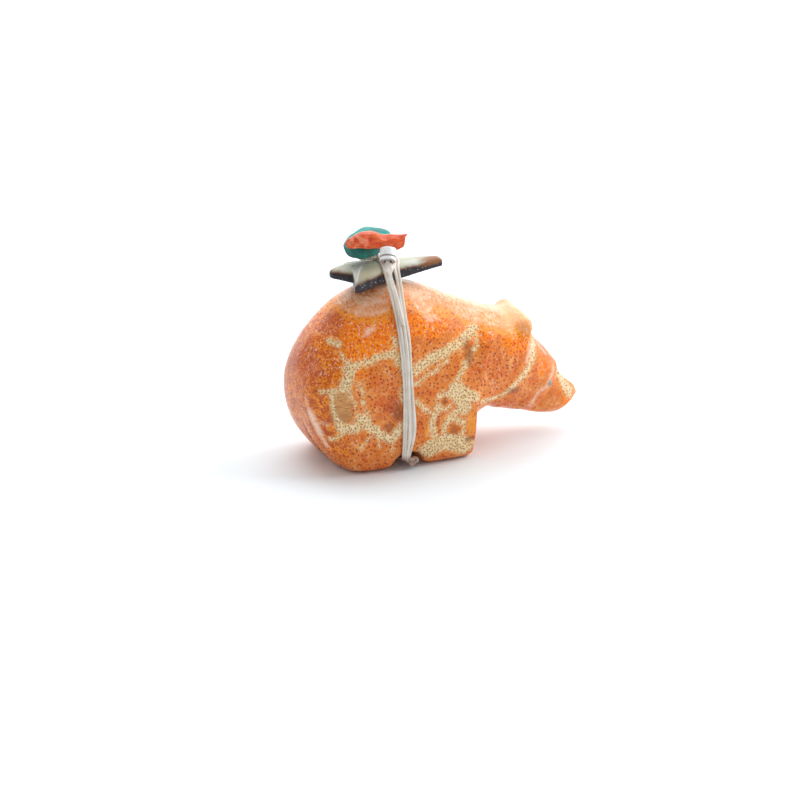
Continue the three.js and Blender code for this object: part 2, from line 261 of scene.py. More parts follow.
def through(values, place):
    # smooth curve through evenly counted values, read at places along them
    values = np.asarray(values, float)
    last = len(values) - 1
    k = np.clip(np.floor(place).astype(int), 0, last - 1)
    f = place - k
    a, b = values[np.maximum(k - 1, 0)], values[k]
    c, d = values[k + 1], values[np.minimum(k + 2, last)]
    if values.ndim > 1:
        f = f[..., None]
    return b + 0.5 * f * (c - a + f * (2 * a - 5 * b + 4 * c - d + f * (3 * (b - c) + d - a)))


def evenly(values, count):
    # a count of even places on the smooth curve through the values
    return through(values, np.linspace(0, len(values) - 1, count))


def roundTurn(count):
    return np.linspace(0, 2 * pi, count, endpoint=False)


def unit(rows):
    return rows / np.linalg.norm(rows, axis=1)[:, None]


def relaxed(loop, times):
    # a closed line of points with its corners eased
    for _ in range(times):
        loop = (np.roll(loop, 1, 0) + 2 * loop + np.roll(loop, -1, 0)) / 4
    return loop


def softMin(a, b, width):
    h = np.maximum(width - np.abs(a - b), 0) / width
    return np.minimum(a, b) - 0.25 * h * h * width


def softMax(a, b, width):
    return -softMin(-a, -b, width)


def smooth(v):
    v = np.clip(v, 0, 1)
    return v * v * (3 - 2 * v)


# the bear's form, as the solid has it but finer

bear = {
    # highest and lowest point of the outline as x, z, then half width, squareness above and below it
    "stations": [
        (-26.5, 13.0, -26.5, 13.0, 0, 2, 2),
        (-25.4, 18.2, -25.8, 8.4, 6.4, 2, 2.4),
        (-22.8, 23.0, -24.1, 4.8, 9.1, 2, 3.2),
        (-19.6, 26.7, -21.4, 1.4, 10.3, 2, 3.8),
        (-15.8, 29.3, -17.8, -1.6, 10.8, 2.1, 4.4),
        (-11.2, 31.0, -12.0, -2.0, 11.0, 2.1, 4.4),
        (-5.5, 30.1, -6.0, -2.0, 10.8, 2.1, 4.4),
        (-0.5, 28.0, 0.0, -2.0, 10.4, 2.1, 4.4),
        (2.6, 26.5, 2.9, -1.4, 10.0, 2.1, 4.3),
        (4.6, 25.6, 3.0, 2.4, 9.7, 2.1, 3.9),
        (6.8, 24.7, 3.5, 5.3, 9.3, 2.2, 3.4),
        (10.6, 23.1, 6.8, 6.6, 8.2, 2.3, 2.7),
        (15.0, 20.2, 9.9, 5.65, 6.8, 2.3, 2.4),
        (18.6, 16.4, 12.5, 4.95, 5.3, 2.2, 2.3),
        (21.85, 12.2, 15.3, 4.15, 3.9, 2.1, 2.2),
        (24.1, 9.2, 19.4, 3.05, 3.0, 2, 2.2),
        (25.8, 7.4, 23.0, 3.2, 2.0, 2, 2),
        (26.5, 5.6, 26.5, 5.6, 0, 2, 2),
    ],
    "ringsInSpan": [4, 3, 4, 4, 4, 8, 3, 3, 3, 2, 3, 5, 6, 3, 5, 2, 3],
    "finer": 5,            # rings here for each ring of the solid
    "sides": 300,
    "waist": 0.46,         # where a ring's widest points lie between its lowest and highest
    "crowding": 0.35,      # how much closer the sides stand underneath
    "footRound": 1.6,      # rounding of the feet's lower edges
    # roundness of the rump's tip and its width, where it starts and over what length
    "tipRound": (0.17, 2.5, -18, 4),
    "wave": 0.08,          # height of the hand polisher's unevenness
    "searchTo": (1.2, 4),  # the skin lies within this share of a ray and this much more
    "halvings": 24,        # how finely the skin is found on each ray
    "notch": {"x": -9.1, "half": 2.7, "height": 2.9, "power": 2.6, "soft": 1.4},
    "groove": {
        "roof": 3.6, "flare": 0.42, "end": 6.4,
        "rear": (-25.9, 8.2, 0.8), "front": (5.4, 7.0, 1.1),  # x, z and slope of its two mouths
        "lean": (0.22, 8, 3),            # sideways per height, gone by this station over so many
        "valley": (0.7, 2.6, 1, 13, 4),  # depth, half width, lowest and highest z, last station
        "soft": (3, 0.7),                # rounding inside it and along its edges
    },
    "earRidge": {"x": 14.6, "z": 20.85, "tilt": 0.08, "radius": 1.5, "halfLength": 4.6,
                 "blend": 2.2, "leastBlend": 0.05, "cut": 0.3},
    "earStep": {"station": 12, "rise": 0.8, "run": 1.6, "ramp": 0.3, "low": 13, "high": 20},
    "eyeStep": {"station": 14, "rise": 0.3, "run": 1.3, "ramp": 0.3, "low": 4.2, "high": 6.7},
    "eyeScoop": 0.35,      # how far the muzzle is hollowed ahead of the eye
    "stationGap": 3,       # millimetres between stations at the ears
    # flat places left by the grinding wheel: a point on the skin, the way it faces, and how deep it is
    "facets": [
        ((-14.3, -5.0, 28.35), (-0.30, -0.56, 0.77), 0.34),
        ((-4.05, -4.4, 28.1), (0.27, -0.54, 0.80), 0.30),
        ((5.8, -4.1, 24.1), (0.28, -0.42, 0.86), 0.22),
        ((-24.8, -7.75, 10.3), (-0.83, -0.55, -0.08), 0.22),
        ((9.1, -8.1, 15.6), (0.27, -0.96, 0.0), 0.16),
        ((19.2, -2.45, 14.7), (0.67, -0.55, 0.50), 0.12),
        ((-24.5, -3.4, 19.5), (-0.89, -0.17, 0.43), 0.2),
        ((-13.0, 5.4, 28.2), (-0.20, 0.60, 0.77), 0.3),
        ((-3.0, 5.2, 27.8), (0.25, 0.58, 0.78), 0.26),
        ((9.0, 8.2, 16.0), (0.27, 0.96, 0.05), 0.14),
    ],
    "facetSize": 4, "facetSoftness": 0.35,
}


def section(place):
    table = through(bear["stations"], place)
    top, bottom = table[..., [0, 1]], table[..., [2, 3]]
    up = top - bottom
    height = np.maximum(np.hypot(up[..., 0], up[..., 1]), 1e-9)
    centre = bottom + up * bear["waist"]
    return {"centre": np.stack([centre[..., 0], 0 * height, centre[..., 1]], -1),
            "up": np.stack([up[..., 0], 0 * height, up[..., 1]], -1) / height[..., None],
            "high": height * (1 - bear["waist"]), "low": height * bear["waist"],
            "half": np.maximum(table[..., 4], 1e-9), "above": table[..., 5], "below": table[..., 6]}


def reach(s, angle):
    upward = np.sin(angle) > 0
    power = np.where(upward, s["above"], s["below"])
    across = np.abs(np.cos(angle)) / s["half"]
    along = np.abs(np.sin(angle)) / np.maximum(np.where(upward, s["high"], s["low"]), 1e-9)
    return (across ** power + along ** power) ** (-1 / power)


def step(place, shape):
    behind = smooth(1 + (place - shape["station"]) / shape["run"])
    ahead = 1 - smooth((place - shape["station"]) / shape["ramp"])
    return shape["rise"] * np.where(place < shape["station"], behind, ahead)


def unevenness(p):
    # slow waves left by hand grinding, in millimetres
    x, y, z = p[..., 0], p[..., 1], p[..., 2]
    waves = (np.sin(0.71 * x + 0.35 * z + 1.3 * np.sin(0.23 * y))
             + np.sin(0.53 * z - 0.47 * x + 0.4 * y)
             + 0.6 * np.sin(1.13 * x - 0.84 * z + 0.9 * y + 2)
             + 0.5 * np.sin(1.37 * z + 1.01 * x + 4))
    return bear["wave"] * waves / 2


def onSide(z, shape):
    return smooth((z - shape["low"]) / (shape["high"] - shape["low"]))


def outside(p, place, beyond):
    # positive outside the carved bear, measured along the ray
    x, y, z = p[..., 0], p[..., 1], p[..., 2]
    notch, groove, earRidge = bear["notch"], bear["groove"], bear["earRidge"]
    earStep, eyeStep = bear["earStep"], bear["eyeStep"]
    scooped = (bear["eyeScoop"] * smooth((place - eyeStep["station"]) / eyeStep["ramp"])
               * smooth((len(bear["stations"]) - 1 - place) / 2))
    lean, straight, passage = groove["lean"]
    middle = -lean * z * smooth((straight - place) / passage)
    depth, half, low, high, last = groove["valley"]
    hollow = (depth * np.exp(-((y - middle) / half) ** 2) * smooth(z - low)
              * smooth((high - z) / 3) * smooth(last - place))
    d = (beyond - step(place, earStep) * onSide(z, earStep)
         + (scooped - step(place, eyeStep)) * onSide(z, eyeStep) + hollow)
    overEnd = np.maximum(np.abs(y) - earRidge["halfLength"], 0)
    overRidge = z - earRidge["z"] - earRidge["tilt"] * y
    ridge = np.sqrt((x - earRidge["x"]) ** 2 + overRidge ** 2 + overEnd ** 2) - earRidge["radius"]
    aheadOfEars = (place - earStep["station"]) * bear["stationGap"]
    d = softMin(d, softMax(ridge, aheadOfEars, earRidge["cut"]),
                earRidge["blend"] * (1 - smooth(aheadOfEars * 1.2)) + earRidge["leastBlend"])
    for at, facing, deep in bear["facets"]:
        n = np.array(facing) / np.linalg.norm(facing)
        away = p - np.array(at)
        faded = np.maximum(np.linalg.norm(away, axis=-1) - bear["facetSize"], 0)
        d = softMax(d, away @ n + deep - faded, bear["facetSoftness"])
    d = d + unevenness(p) * smooth(z / 2)
    power = notch["power"]
    inNotch = 1 - (np.abs((x - notch["x"]) / notch["half"]) ** power
                   + np.abs(z / notch["height"]) ** power) ** (1 / power)
    d = softMax(d, inNotch * notch["half"], notch["soft"])
    d = softMax(d, -z, bear["footRound"])
    rearX, rearZ, rearSlope = groove["rear"]
    frontX, frontZ, frontSlope = groove["front"]
    behind = (rearZ - z - rearSlope * (x - rearX)) / np.hypot(1, rearSlope)
    before = (frontZ - z + frontSlope * (x - frontX)) / np.hypot(1, frontSlope)
    inside, edges = groove["soft"]
    under = softMax(groove["roof"] - z, behind, inside)
    deep = softMax(under, np.minimum(before, groove["end"] - x), inside)
    flare = groove["flare"]
    return softMax(d, (flare * deep - np.abs(y - middle)) / np.hypot(1, flare), edges)


def surface(place, angle):
    # points of the carved surface at places along the stations and angles round them
    s = section(place)
    ray = s["up"] * np.sin(angle)[..., None] + np.array([0, 1, 0]) * np.cos(angle)[..., None]
    plain = reach(s, angle)
    share, more = bear["searchTo"]
    inner = np.zeros_like(plain)
    outer = plain * share + more
    for _ in range(bear["halvings"]):
        middle = (inner + outer) / 2
        p = s["centre"] + ray * middle[..., None]
        out = outside(p, place, middle - plain) > 0
        outer = np.where(out, middle, outer)
        inner = np.where(out, inner, middle)
    p = s["centre"] + ray * inner[..., None]
    p[..., 2] = np.where(p[..., 2] < 0.002, 0, p[..., 2])
    return p


def bearSkin():
    finer = bear["finer"]
    places = np.concatenate([span + np.arange(n * finer) / (n * finer)
                             for span, n in enumerate(bear["ringsInSpan"])])[1:]
    turn = 2 * pi * np.arange(bear["sides"]) / bear["sides"]
    angle = turn - bear["crowding"] * np.sin(turn) - pi / 2
    rings = surface(*np.meshgrid(places, angle, indexing="ij"))
    tips = [np.array([row[0], 0, row[1]]) for row in (bear["stations"][0], bear["stations"][-1])]
    points, faces = skin(rings, *tips)
    slope, width, begin, length = bear["tipRound"]
    away = np.hypot(points[:, 1], points[:, 2] - tips[0][2])
    points[:, 0] += slope * (np.hypot(away, width) - away) * smooth((begin - points[:, 0]) / length)
    return points, faces


# veins and stained places of the coral, as x, z on one flank

tintKinds = ("ember", "block", "stain", "rust", "amber")
veins = {
    # half width, then the line; right flank first
    "right": [
        (0.3, [(-24.7, 15.5), (-22.8, 15.8), (-21.6, 16.6)]),
        (0.9, [(-21.0, 16.6), (-20.2, 18.5), (-20.0, 19.7)]),
        (0.55, [(-20.6, 19.7), (-17.6, 20.3), (-14.3, 21.1), (-12.3, 21.5)]),
        (0.25, [(-12.3, 21.5), (-11.9, 22.4), (-11.8, 23.8)]),
        (0.45, [(-12.3, 21.5), (-11.2, 19.9), (-10.6, 18.3), (-10.5, 15.5), (-10.4, 12.4)]),
        (0.16, [(-23.4, 15.2), (-23.1, 13.3), (-22.9, 11.4), (-22.3, 9.9)]),
        (0.4, [(-23.1, 14.6), (-22.8, 14.8)]),
        (0.35, [(-22.7, 10.6), (-22.4, 10.4)]),
        (0.14, [(-20.6, 15.8), (-19.8, 13.9), (-19.5, 12.1), (-19.5, 10.1)]),
        (0.14, [(-18.6, 17.0), (-18.1, 15.0), (-18.3, 13.2), (-17.4, 11.4)]),
        (0.75, [(-22.2, 9.6), (-21.0, 8.9), (-19.3, 9.0)]),
        (0.95, [(-18.4, 10.3), (-17.6, 9.8)]),
        (0.7, [(-17.6, 9.8), (-16.3, 8.4), (-14.7, 6.9), (-13.1, 6.4), (-11.1, 7.5), (-9.8, 8.9)]),
        (0.12, [(-16.6, 7.4), (-17.6, 6.3), (-18.7, 5.0)]),
        (0.12, [(-15.2, 6.2), (-15.3, 4.6)]),
        (0.16, [(-12.9, 6.0), (-12.8, 4.0)]),
        (0.25, [(-21.4, 8.4), (-22.4, 7.4), (-23.4, 6.9)]),
        (0.75, [(4.1, 23.0), (2.1, 21.7), (-0.4, 20.8), (-3.9, 20.0), (-6.5, 18.9), (-8.6, 17.9)]),
        (0.22, [(4.4, 22.4), (3.4, 19.6), (1.5, 17.8)]),
        (0.42, [(1.5, 17.8), (0.0, 15.4), (-0.7, 13.8)]),
        (0.25, [(-2.0, 18.8), (-5.3, 17.2), (-8.8, 15.5)]),
        (0.28, [(-8.6, 12.9), (-6.9, 11.5), (-5.2, 9.9)]),
        # the wide field on the breast, the rings beside it, and the foot
        (1.45, [(-0.6, 12.9), (0.7, 11.6), (0.8, 10.4)]),
        (0.8, [(1.4, 12.4), (3.4, 11.0)]),
        (0.3, [(-1.7, 12.9), (-3.0, 13.3), (-4.1, 12.3), (-4.2, 10.7), (-3.2, 9.8), (-1.6, 10.2)]),
        (0.45, [(-4.2, 10.7), (-4.9, 9.0), (-5.1, 7.2), (-4.6, 5.2)]),
        (0.42, [(0.2, 9.4), (-1.4, 8.7), (-2.6, 7.4), (-2.9, 5.8)]),
        (0.3, [(-1.2, 8.2), (0.1, 7.7), (0.9, 6.7), (0.9, 5.6), (0.5, 4.6)]),
        (1.4, [(-6.4, 2.7), (-4.6, 3.5), (-2.2, 3.9), (0.0, 3.1), (1.7, 2.3)]),
        (0.8, [(16.7, 17.3), (16.1, 15.8)]),
        (0.58, [(15.9, 15.6), (15.4, 14.4), (13.2, 12.0), (11.2, 10.6)]),
        (0.4, [(11.2, 10.6), (8.4, 9.2), (5.0, 9.6)]),
        (0.95, [(22.6, 10.4), (23.9, 8.0), (24.6, 6.8)]),
        (0.2, [(-15.8, 28.9), (-13.6, 29.7), (-11.0, 30.1)]),
        (0.2, [(-7.0, 30.0), (-4.1, 29.4)]),
        (0.4, [(-22.0, 23.2), (-20.9, 23.0)]),
        (0.1, [(-21.3, 22.6), (-20.7, 21.0), (-20.5, 19.9)]),
    ],
    "left": [
        (0.6, [(-24.6, 12.5), (-21.8, 14.6), (-18.6, 14.8), (-15.2, 16.8), (-12.4, 19.6), (-11.0, 23.0)]),
        (0.3, [(-18.6, 14.8), (-18.8, 11.2), (-17.2, 8.0)]),
        (0.8, [(-23.0, 7.6), (-19.8, 7.4), (-17.2, 8.0), (-14.0, 6.0), (-12.0, 3.6)]),
        (0.7, [(-7.6, 22.4), (-4.6, 19.6), (-1.4, 18.6), (2.4, 19.8), (5.4, 22.0)]),
        (0.35, [(-1.4, 18.6), (-2.0, 15.0), (-4.6, 12.0), (-8.4, 10.4)]),
        (0.85, [(-4.6, 12.0), (-1.6, 10.4), (1.8, 11.0), (5.2, 9.4)]),
        (0.9, [(-6.8, 3.4), (-3.6, 4.2), (-0.4, 3.2), (2.4, 4.4)]),
        (0.35, [(-1.6, 10.4), (-1.2, 7.2), (-2.4, 4.2)]),
        (0.6, [(15.4, 18.6), (14.0, 14.6), (11.2, 11.6), (8.0, 9.8)]),
        (0.3, [(22.4, 10.8), (20.6, 8.2), (19.6, 5.6)]),
    ],
}
# painted highlights: pale lines on polished arrises and facets and small painted glints, in the same way;
# three numbers are a place on the skin
paintedHighlightLines = {
    "right": [
        (0.3, [(-26.1, -4.6, 13.4), (-25.7, -6.0, 11.4)]),
        (0.85, [(-25.7, -6.0, 11.2), (-25.0, -6.9, 9.2), (-24.3, -7.3, 7.8)]),
        (0.5, [(-24.3, -7.3, 7.8), (-23.3, -7.7, 5.6)]),
        (0.36, [(17.3, -2.0, 17.4), (15.9, -4.4, 16.9), (15.05, -5.4, 16.1), (14.2, -6.1, 15.2)]),
        (0.5, [(18.0, -2.4, 16.4), (19.4, -2.4, 14.7)]),
        (0.3, [(21.0, 12.0), (20.1, 10.6), (19.3, 9.2), (17.3, 8.0), (15.9, 5.6)]),
        (0.2, [(22.6, 9.7), (23.6, 7.9), (24.4, 6.9)]),
        (0.25, [(-16.8, 27.6), (-14.4, 27.4), (-12.0, 28.1)]),
        (0.3, [(-15.6, 28.5), (-13.6, 28.8), (-11.8, 29.2)]),
        (0.16, [(-6.1, 28.3), (-5.8, 27.2), (-4.8, 26.8), (-3.4, 27.0)]),
        (0.45, [(-16.4, 24.6), (-15.9, 25.1)]),
        (0.35, [(-15.5, 25.1), (-15.1, 25.5)]),
        (0.35, [(-4.8, 26.2), (-4.6, 25.6)]),
        (0.35, [(-4.0, 26.1), (-3.9, 25.5)]),
        (0.35, [(-3.3, 26.0), (-3.0, 25.6)]),
        (0.08, [(7.1, 13.3), (7.2, 12.4)]),
        (0.17, [(-26.1, -4.3, 9.9), (-25.0, -7.0, 9.8), (-23.4, -9.2, 9.7)]),
    ],
    "left": [
        (0.3, [(-25.3, 10.2), (-24.4, 7.6), (-23.0, 5.0)]),
        (0.3, [(16.4, 17.2), (15.0, 16.1), (13.8, 14.9)]),
        (0.24, [(20.1, 10.6), (19.3, 9.2), (17.3, 8.0), (15.9, 5.6)]),
        (0.5, [(22.6, 9.7), (23.6, 7.9), (24.4, 6.9)]),
        (0.8, [(-15.4, 27.4), (-12.6, 28.0)]),
        (0.16, [(-5.8, 27.8), (-4.8, 26.8), (-3.0, 27.2)]),
    ],
}
# broad places with their own tint: x, z, half sizes along x and z, on one flank
patches = {
    "right": {
        "ember": [(-21.6, 20.5, 4.2, 5.5), (-15.0, 23.6, 6.5, 3.4), (-4.6, 24.9, 5.2, 2.2),
                  (5.0, 22.0, 5.5, 1.7), (12.5, 19.6, 3.6, 2.8), (18.0, 12.9, 1.1, 1.6),
                  (24.6, 5.2, 1.8, 1.4)],
        "block": [(-21.5, 13.0, 1.7, 2.8)],
        "stain": [(-11.7, 10.8, 1.0, 1.4), (-13.3, 8.4, 0.8, 0.8), (2.0, 19.0, 0.9, 2.0),
                  (-1.1, 6.1, 0.75, 0.85), (-3.1, 11.5, 0.4, 0.7), (11.6, 10.2, 1.3, 0.6),
                  (1.9, 3.9, 0.9, 0.5)],
        # rust patches; the last one on the right flank, under the arrowhead, is painted shadow cast by it
        "rust": [(-25.2, 20.2, 1.7, 4.0), (-21.6, 25.8, 2.8, 2.0), (-12.6, 12.4, 1.4, 1.6),
                 (-4.4, 8.6, 0.5, 1.4), (-14.4, 30.0, 2.6, 0.7)],
        "amber": [(2.1, 6.7, 0.9, 2.1), (-6.2, 6.6, 0.5, 1.4), (12.6, 21.8, 3.0, 1.6)],
    },
    "left": {
        "ember": [(-20.0, 21.5, 6.0, 5.0), (-6.0, 24.5, 8.0, 3.0), (8.0, 21.0, 6.0, 3.0),
                  (18.0, 12.9, 1.1, 1.6)],
        "block": [],
        "stain": [(-15.5, 10.6, 1.2, 1.0), (3.8, 15.4, 1.0, 1.8)],
        "rust": [(-25.4, 20.2, 1.5, 4.0), (-9.0, 8.0, 1.6, 1.4)],
        "amber": [(2.1, 6.7, 1.05, 2.3), (12.6, 21.8, 3.0, 1.6)],
    },
}
# squareness and sharpness of a patch's edge
patchEdge = {"block": (8, 4), "others": (2, 1)}
# where the back turns pale, partly in the coral's own colour and partly as painted sheen, as x and the
# height above which it does, on both flanks
crownLine = [
    (-26.5, 20.5), (-22.5, 25.6), (-19.0, 27.6), (-17.2, 27.0), (-14.8, 26.6), (-13.5, 27.0),
    (-12.1, 27.5), (-10.3, 28.5), (-8.1, 28.95), (-7.2, 28.7), (-6.4, 27.1), (-4.9, 26.6),
    (-3.1, 26.8), (-1.6, 26.5), (1.6, 24.8), (3.0, 23.8), (4.4, 23.0), (7.2, 22.3), (9.1, 21.4),
    (11.1, 20.8), (12.4, 20.9), (13.4, 20.2), (14.6, 19.6), (16.2, 19.4), (17.0, 24.0), (26.5, 24.0),
]
farOff = 9.0      # distances over this many millimetres count as this
lineReach = 4     # how far round a line its distance is measured
lineSteps = 10    # points on a line from one of its corners to the next


def onFlank(points, side, line):
    # puts x, z places on the bear's skin, at its right or left
    own = points[points[:, 1] < 0] if side == "right" else points[points[:, 1] > 0]
    found = []
    for x, z in line:
        away = np.hypot(own[:, 0] - x, own[:, 2] - z)
        near = own[away < away.min() + 0.35]
        found.append(near[np.abs(near[:, 1]).argmax()])
    return np.array(found)


def lineDistance(points, lines):
    # millimetres from each point of the skin to the edge of the nearest line
    nearest = np.full(len(points), farOff)
    for side, own in lines.items():
        for half, line in own:
            track = evenly(line, lineSteps * (len(line) - 1) + 1)
            if track.shape[1] == 2:
                track = onFlank(points, side, track)
            low, high = track.min(0) - lineReach, track.max(0) + lineReach
            close = np.where(((points > low) & (points < high)).all(1))[0]
            for at in track:
                away = np.linalg.norm(points[close] - at, axis=1) - half
                nearest[close] = np.minimum(nearest[close], away)
    return nearest


def crownHeight(points):
    # millimetres above the line where the back turns pale
    line = np.array(crownLine)
    above = points[:, 2] - np.interp(points[:, 0], line[:, 0], line[:, 1])
    return np.clip(above, -farOff, farOff)


def tint(points, kind):
    # share of a tint at each point of the skin: whole inside a patch, half on its edge, none well outside
    found = np.zeros(len(points))
    power, sharpness = patchEdge["block" if kind == "block" else "others"]
    for side, kinds in patches.items():
        own = points[:, 1] < 0 if side == "right" else points[:, 1] > 0
        for x, z, alongX, alongZ in kinds[kind]:
            away = (np.abs((points[:, 0] - x) / alongX) ** power
                    + np.abs((points[:, 2] - z) / alongZ) ** power) ** (1 / power)
            share = np.clip(sharpness * (1 + 0.5 / sharpness - away), 0, 1)
            found[own] = np.maximum(found[own], share[own])
    return found


# screen colours, 0 to 255
coralColours = {
    "flesh": (228, 132, 60),
    "fleshRed": (220, 106, 36),
    "fleshPale": (242, 166, 98),
    "ember": (255, 146, 18),
    "emberRed": (242, 98, 4),
    "rust": (178, 70, 22),
    "rustPale": (216, 112, 56),
    "amber": (246, 160, 54),
    "amberPale": (250, 168, 98),
    "yellow": (255, 160, 40),
    "dots": (166, 60, 22),
    "dotsDeep": (146, 46, 18),
    "dotsRed": (210, 72, 0),
    "cream": (226, 192, 134),
    "creamPale": (246, 226, 182),
    "pores": (156, 84, 42),
    "block": (224, 170, 108),
    "blockBrown": (176, 118, 70),
    "crack": (104, 60, 32),
    "stain": (140, 76, 40),
    # pale back colours: the coral's own paler colour with painted sheen
    "crown": (238, 146, 82),
    "crownPale": (250, 196, 160),
    # painted glint and painted highlight colours, pale light on the polish
    "paintedGlint": (255, 232, 206),
    "shine": (255, 218, 192),
}


def coralFinish():
    c = {name: paint(*colour) for name, colour in coralColours.items()}
    finish = Finish("spongeCoral", Roughness=0.3, IOR=1.45, Specular_IOR_Level=0.24,
                    Coat_Weight=0.05, Coat_Roughness=0.06)
    # the coral's tubes run across the body, so they show as dots on the flanks and streaks above
    x, y, z = finish.parts(finish.place)
    sway = finish.noise(0.25, 2) * 0.8
    tubes = finish.start.node("CombineXYZ", {}, {
        0: x * 0.93 - y * 0.35 + sway, 1: z * 0.95 + y * 0.28 + x * 0.12 + sway * 0.7})
    wobble = finish.noise(0.9, 3)
    stir = wobble - 0.5
    fuzz = finish.noise(3.2, 3, 0.6) - 0.5
    ember, block, stain, rust, amber = [finish.attribute(kind) for kind in tintKinds]
    ember = (ember + stir * 0.9).between(0.2, 0.75)
    rust = (rust + stir * 1.2).between(0.2, 0.8)
    crown = finish.attribute("crown") + fuzz * 1.6 + stir * 1.4
    onCrown = crown.between(-0.25, 0.3)
    band = crown.between(-1.7, -0.2) * (1 - onCrown)
    vein = finish.attribute("vein") + stir * 1.1 + fuzz * 1.4
    inVein = vein.between(0.5, -0.36) * (1 - onCrown * 0.6)
    nearVein = vein.between(1.8, 0.1)
    # dark red pores in the orange, large and small, and brown ones in the veins
    size = finish.noise(0.9, 2)
    large, small, pores = [
        finish.cells(spacing, spread, flat=tubes).between(rim, edge, 1, 0)
        for spacing, spread, rim, edge in (
            (0.72, 0.85, 0.13, 0.36), (0.4, 0.9, 0.14, 0.3), (0.49, 0.8, 0.17, 0.38))]
    large = large * size.between(0.36, 0.58, 0.45, 1)
    dots = finish.start.math("MAXIMUM", large, small * size.between(0.62, 0.4, 0.15, 0.5))
    pores = pores * size.between(0.3, 0.55, 0.65, 1)
    # painted sparkles: scattered pale specks of light on the polish
    paintedSparkles = finish.noise(3.6, 3, 0.6, (1.0, 1.0, 0.6)).between(0.58, 0.66)
    paintedSparkles = paintedSparkles * finish.noise(0.4, 2).between(0.42, 0.6, 0.12, 1)
    # orange body, hotter below the pale back and redder behind
    mottle = finish.noise(0.6, 4, 0.65)
    body = mottle.between(0.45, 0.66).blend(c["flesh"], c["fleshRed"])
    body = body.mix(c["fleshPale"], mottle.between(0.46, 0.3))
    threads = finish.noise(1.9, 4, 0.7, (1.0, 0.4, 1.0), 1.2)
    hot = threads.between(0.44, 0.6).blend(c["ember"], c["emberRed"])
    hot = hot.mix(c["fleshRed"], threads.between(0.57, 0.68) * 0.8)
    body = body.mix(hot.mix(c["yellow"], threads.between(0.45, 0.34) * 0.9), ember)
    body = body.mix(c["yellow"], band * 0.8).mix(c["yellow"], nearVein * 0.2)
    tracks = finish.noise(1.3, 4, 0.65, (0.8, 0.6, 1.2), 1.8)
    worms = tracks.between(0.45, 0.6).blend(c["rust"], c["ember"])
    behind = x.between(-18.5, -21.5)
    body = body.mix(c["rust"], x.between(-20.5, -24) * 0.7).mix(worms, behind * 0.6)
    tubeEnds = finish.cells(1.15)
    tubeEnds = tubeEnds.between(0.2, 0.3) * tubeEnds.between(0.46, 0.36)
    body = body.mix(c["yellow"], tubeEnds * behind * 0.7)
    body = body.mix(tracks.between(0.42, 0.6).blend(c["rust"], c["rustPale"]), rust * 0.75)
    body = body.mix(c["amber"], (amber + stir * 0.8).between(0.2, 0.8) * 0.7)
    dots = dots * (1 - amber * 0.7) * x.between(-24.5, -20.5, 0.4, 1) * x.between(12, 21, 1, 0.35)
    dotted = size.between(0.4, 0.6).blend(c["dots"], c["dotsDeep"]).mix(c["dotsRed"], ember * 0.8)
    body = body.mix(dotted, dots * 0.86)
    # painted glints: pale sparkles of light in the hot orange, and painted sparkles all over
    glints = finish.noise(2.2, 3, 0.6, (1.0, 1.0, 0.7), 0.6).between(0.57, 0.64)
    body = body.mix(c["paintedGlint"], glints * ember * mottle.between(0.6, 0.45) * 0.55)
    body = body.mix(c["paintedGlint"], paintedSparkles * (ember * 0.3 + 0.5))
    # pale back, partly the coral's own colour and partly painted sheen of the light from above, with
    # painted white highlight streaks
    streaks = finish.noise(1.9, 5, 0.7, (1.4, 0.35, 1.4), 0.9)
    high = crown.between(0.2, 3.0, 0, 0.16)
    pale = (streaks + high).between(0.46, 0.66).blend(c["crown"], c["crownPale"])
    pale = pale.mix(c["paintedGlint"], streaks.between(0.57, 0.68) * 0.8)
    pale = pale.mix(c["yellow"], ember * streaks.between(0.52, 0.4) * 0.6)
    pale = pale.mix(c["amberPale"], amber * 0.6)
    # reddened where rust patches reach the pale back; under the arrowhead this is painted shadow
    pale = pale.mix(c["fleshRed"], rust * streaks.between(0.62, 0.45) * 0.7)
    pale = pale.mix(c["flesh"], dots * 0.25).mix(c["paintedGlint"], paintedSparkles * 0.5)
    body = body.mix(pale, onCrown * streaks.between(0.3, 0.5, 0.7, 1))
    # square block of grain laid bare on the haunch
    grain = finish.noise(2.0, 4, 0.65, (0.5, 0.5, 3.2))
    slab = grain.between(0.35, 0.65).blend(c["block"], c["blockBrown"])
    slab = slab.mix(c["blockBrown"], z.between(12.4, 11.4) * 0.6)
    cracks = finish.noise(0.9, 3, 0.6, (0.3, 0.3, 3.0)).between(0.5, 0.52)
    slab = slab.mix(c["crack"], cracks * cracks.between(1, 0.6))
    colour = body.mix(slab, block * 0.9)
    cream = finish.noise(2.6, 3, 0.6).between(0.38, 0.62).blend(c["cream"], c["creamPale"])
    colour = colour.mix(cream.mix(c["pores"], pores * 0.85), inVein * 0.95)
    colour = colour.mix(c["stain"], stain * wobble.between(0.3, 0.52, 0.6, 1) * 0.75)
    # painted highlights along the polished arrises and facets, broken by the streaks
    shine = (finish.attribute("shine") + fuzz * 1.1).between(0.5, -0.75)
    colour = colour.mix(c["shine"], shine * streaks.between(0.36, 0.56, 0.5, 0.95))
    pits = dots * (1 - inVein) + pores * inVein
    scratch = finish.noise(1.4, 5, 0.7, (1.0, 1.0, 5.0), 0.8)
    finish.feed(Base_Color=colour, Roughness=(scratch - 0.5) * 0.25 + pits * 0.12 + 0.27)
    finish.bump(scratch * 0.3 - pits * 0.7, 0.05, 0.45)
    return finish


def dressBear():
    points, faces = bearSkin()
    values = {kind: tint(points, kind) for kind in tintKinds}
    values["vein"] = lineDistance(points, veins)
    values["shine"] = lineDistance(points, paintedHighlightLines)
    values["crown"] = crownHeight(points)
    piece = makePiece("bear_coral", points, faces, coralFinish(), ["bear"], values)
    return piece, points


bearPiece, bearPoints = dressBear()


# bundle on the back

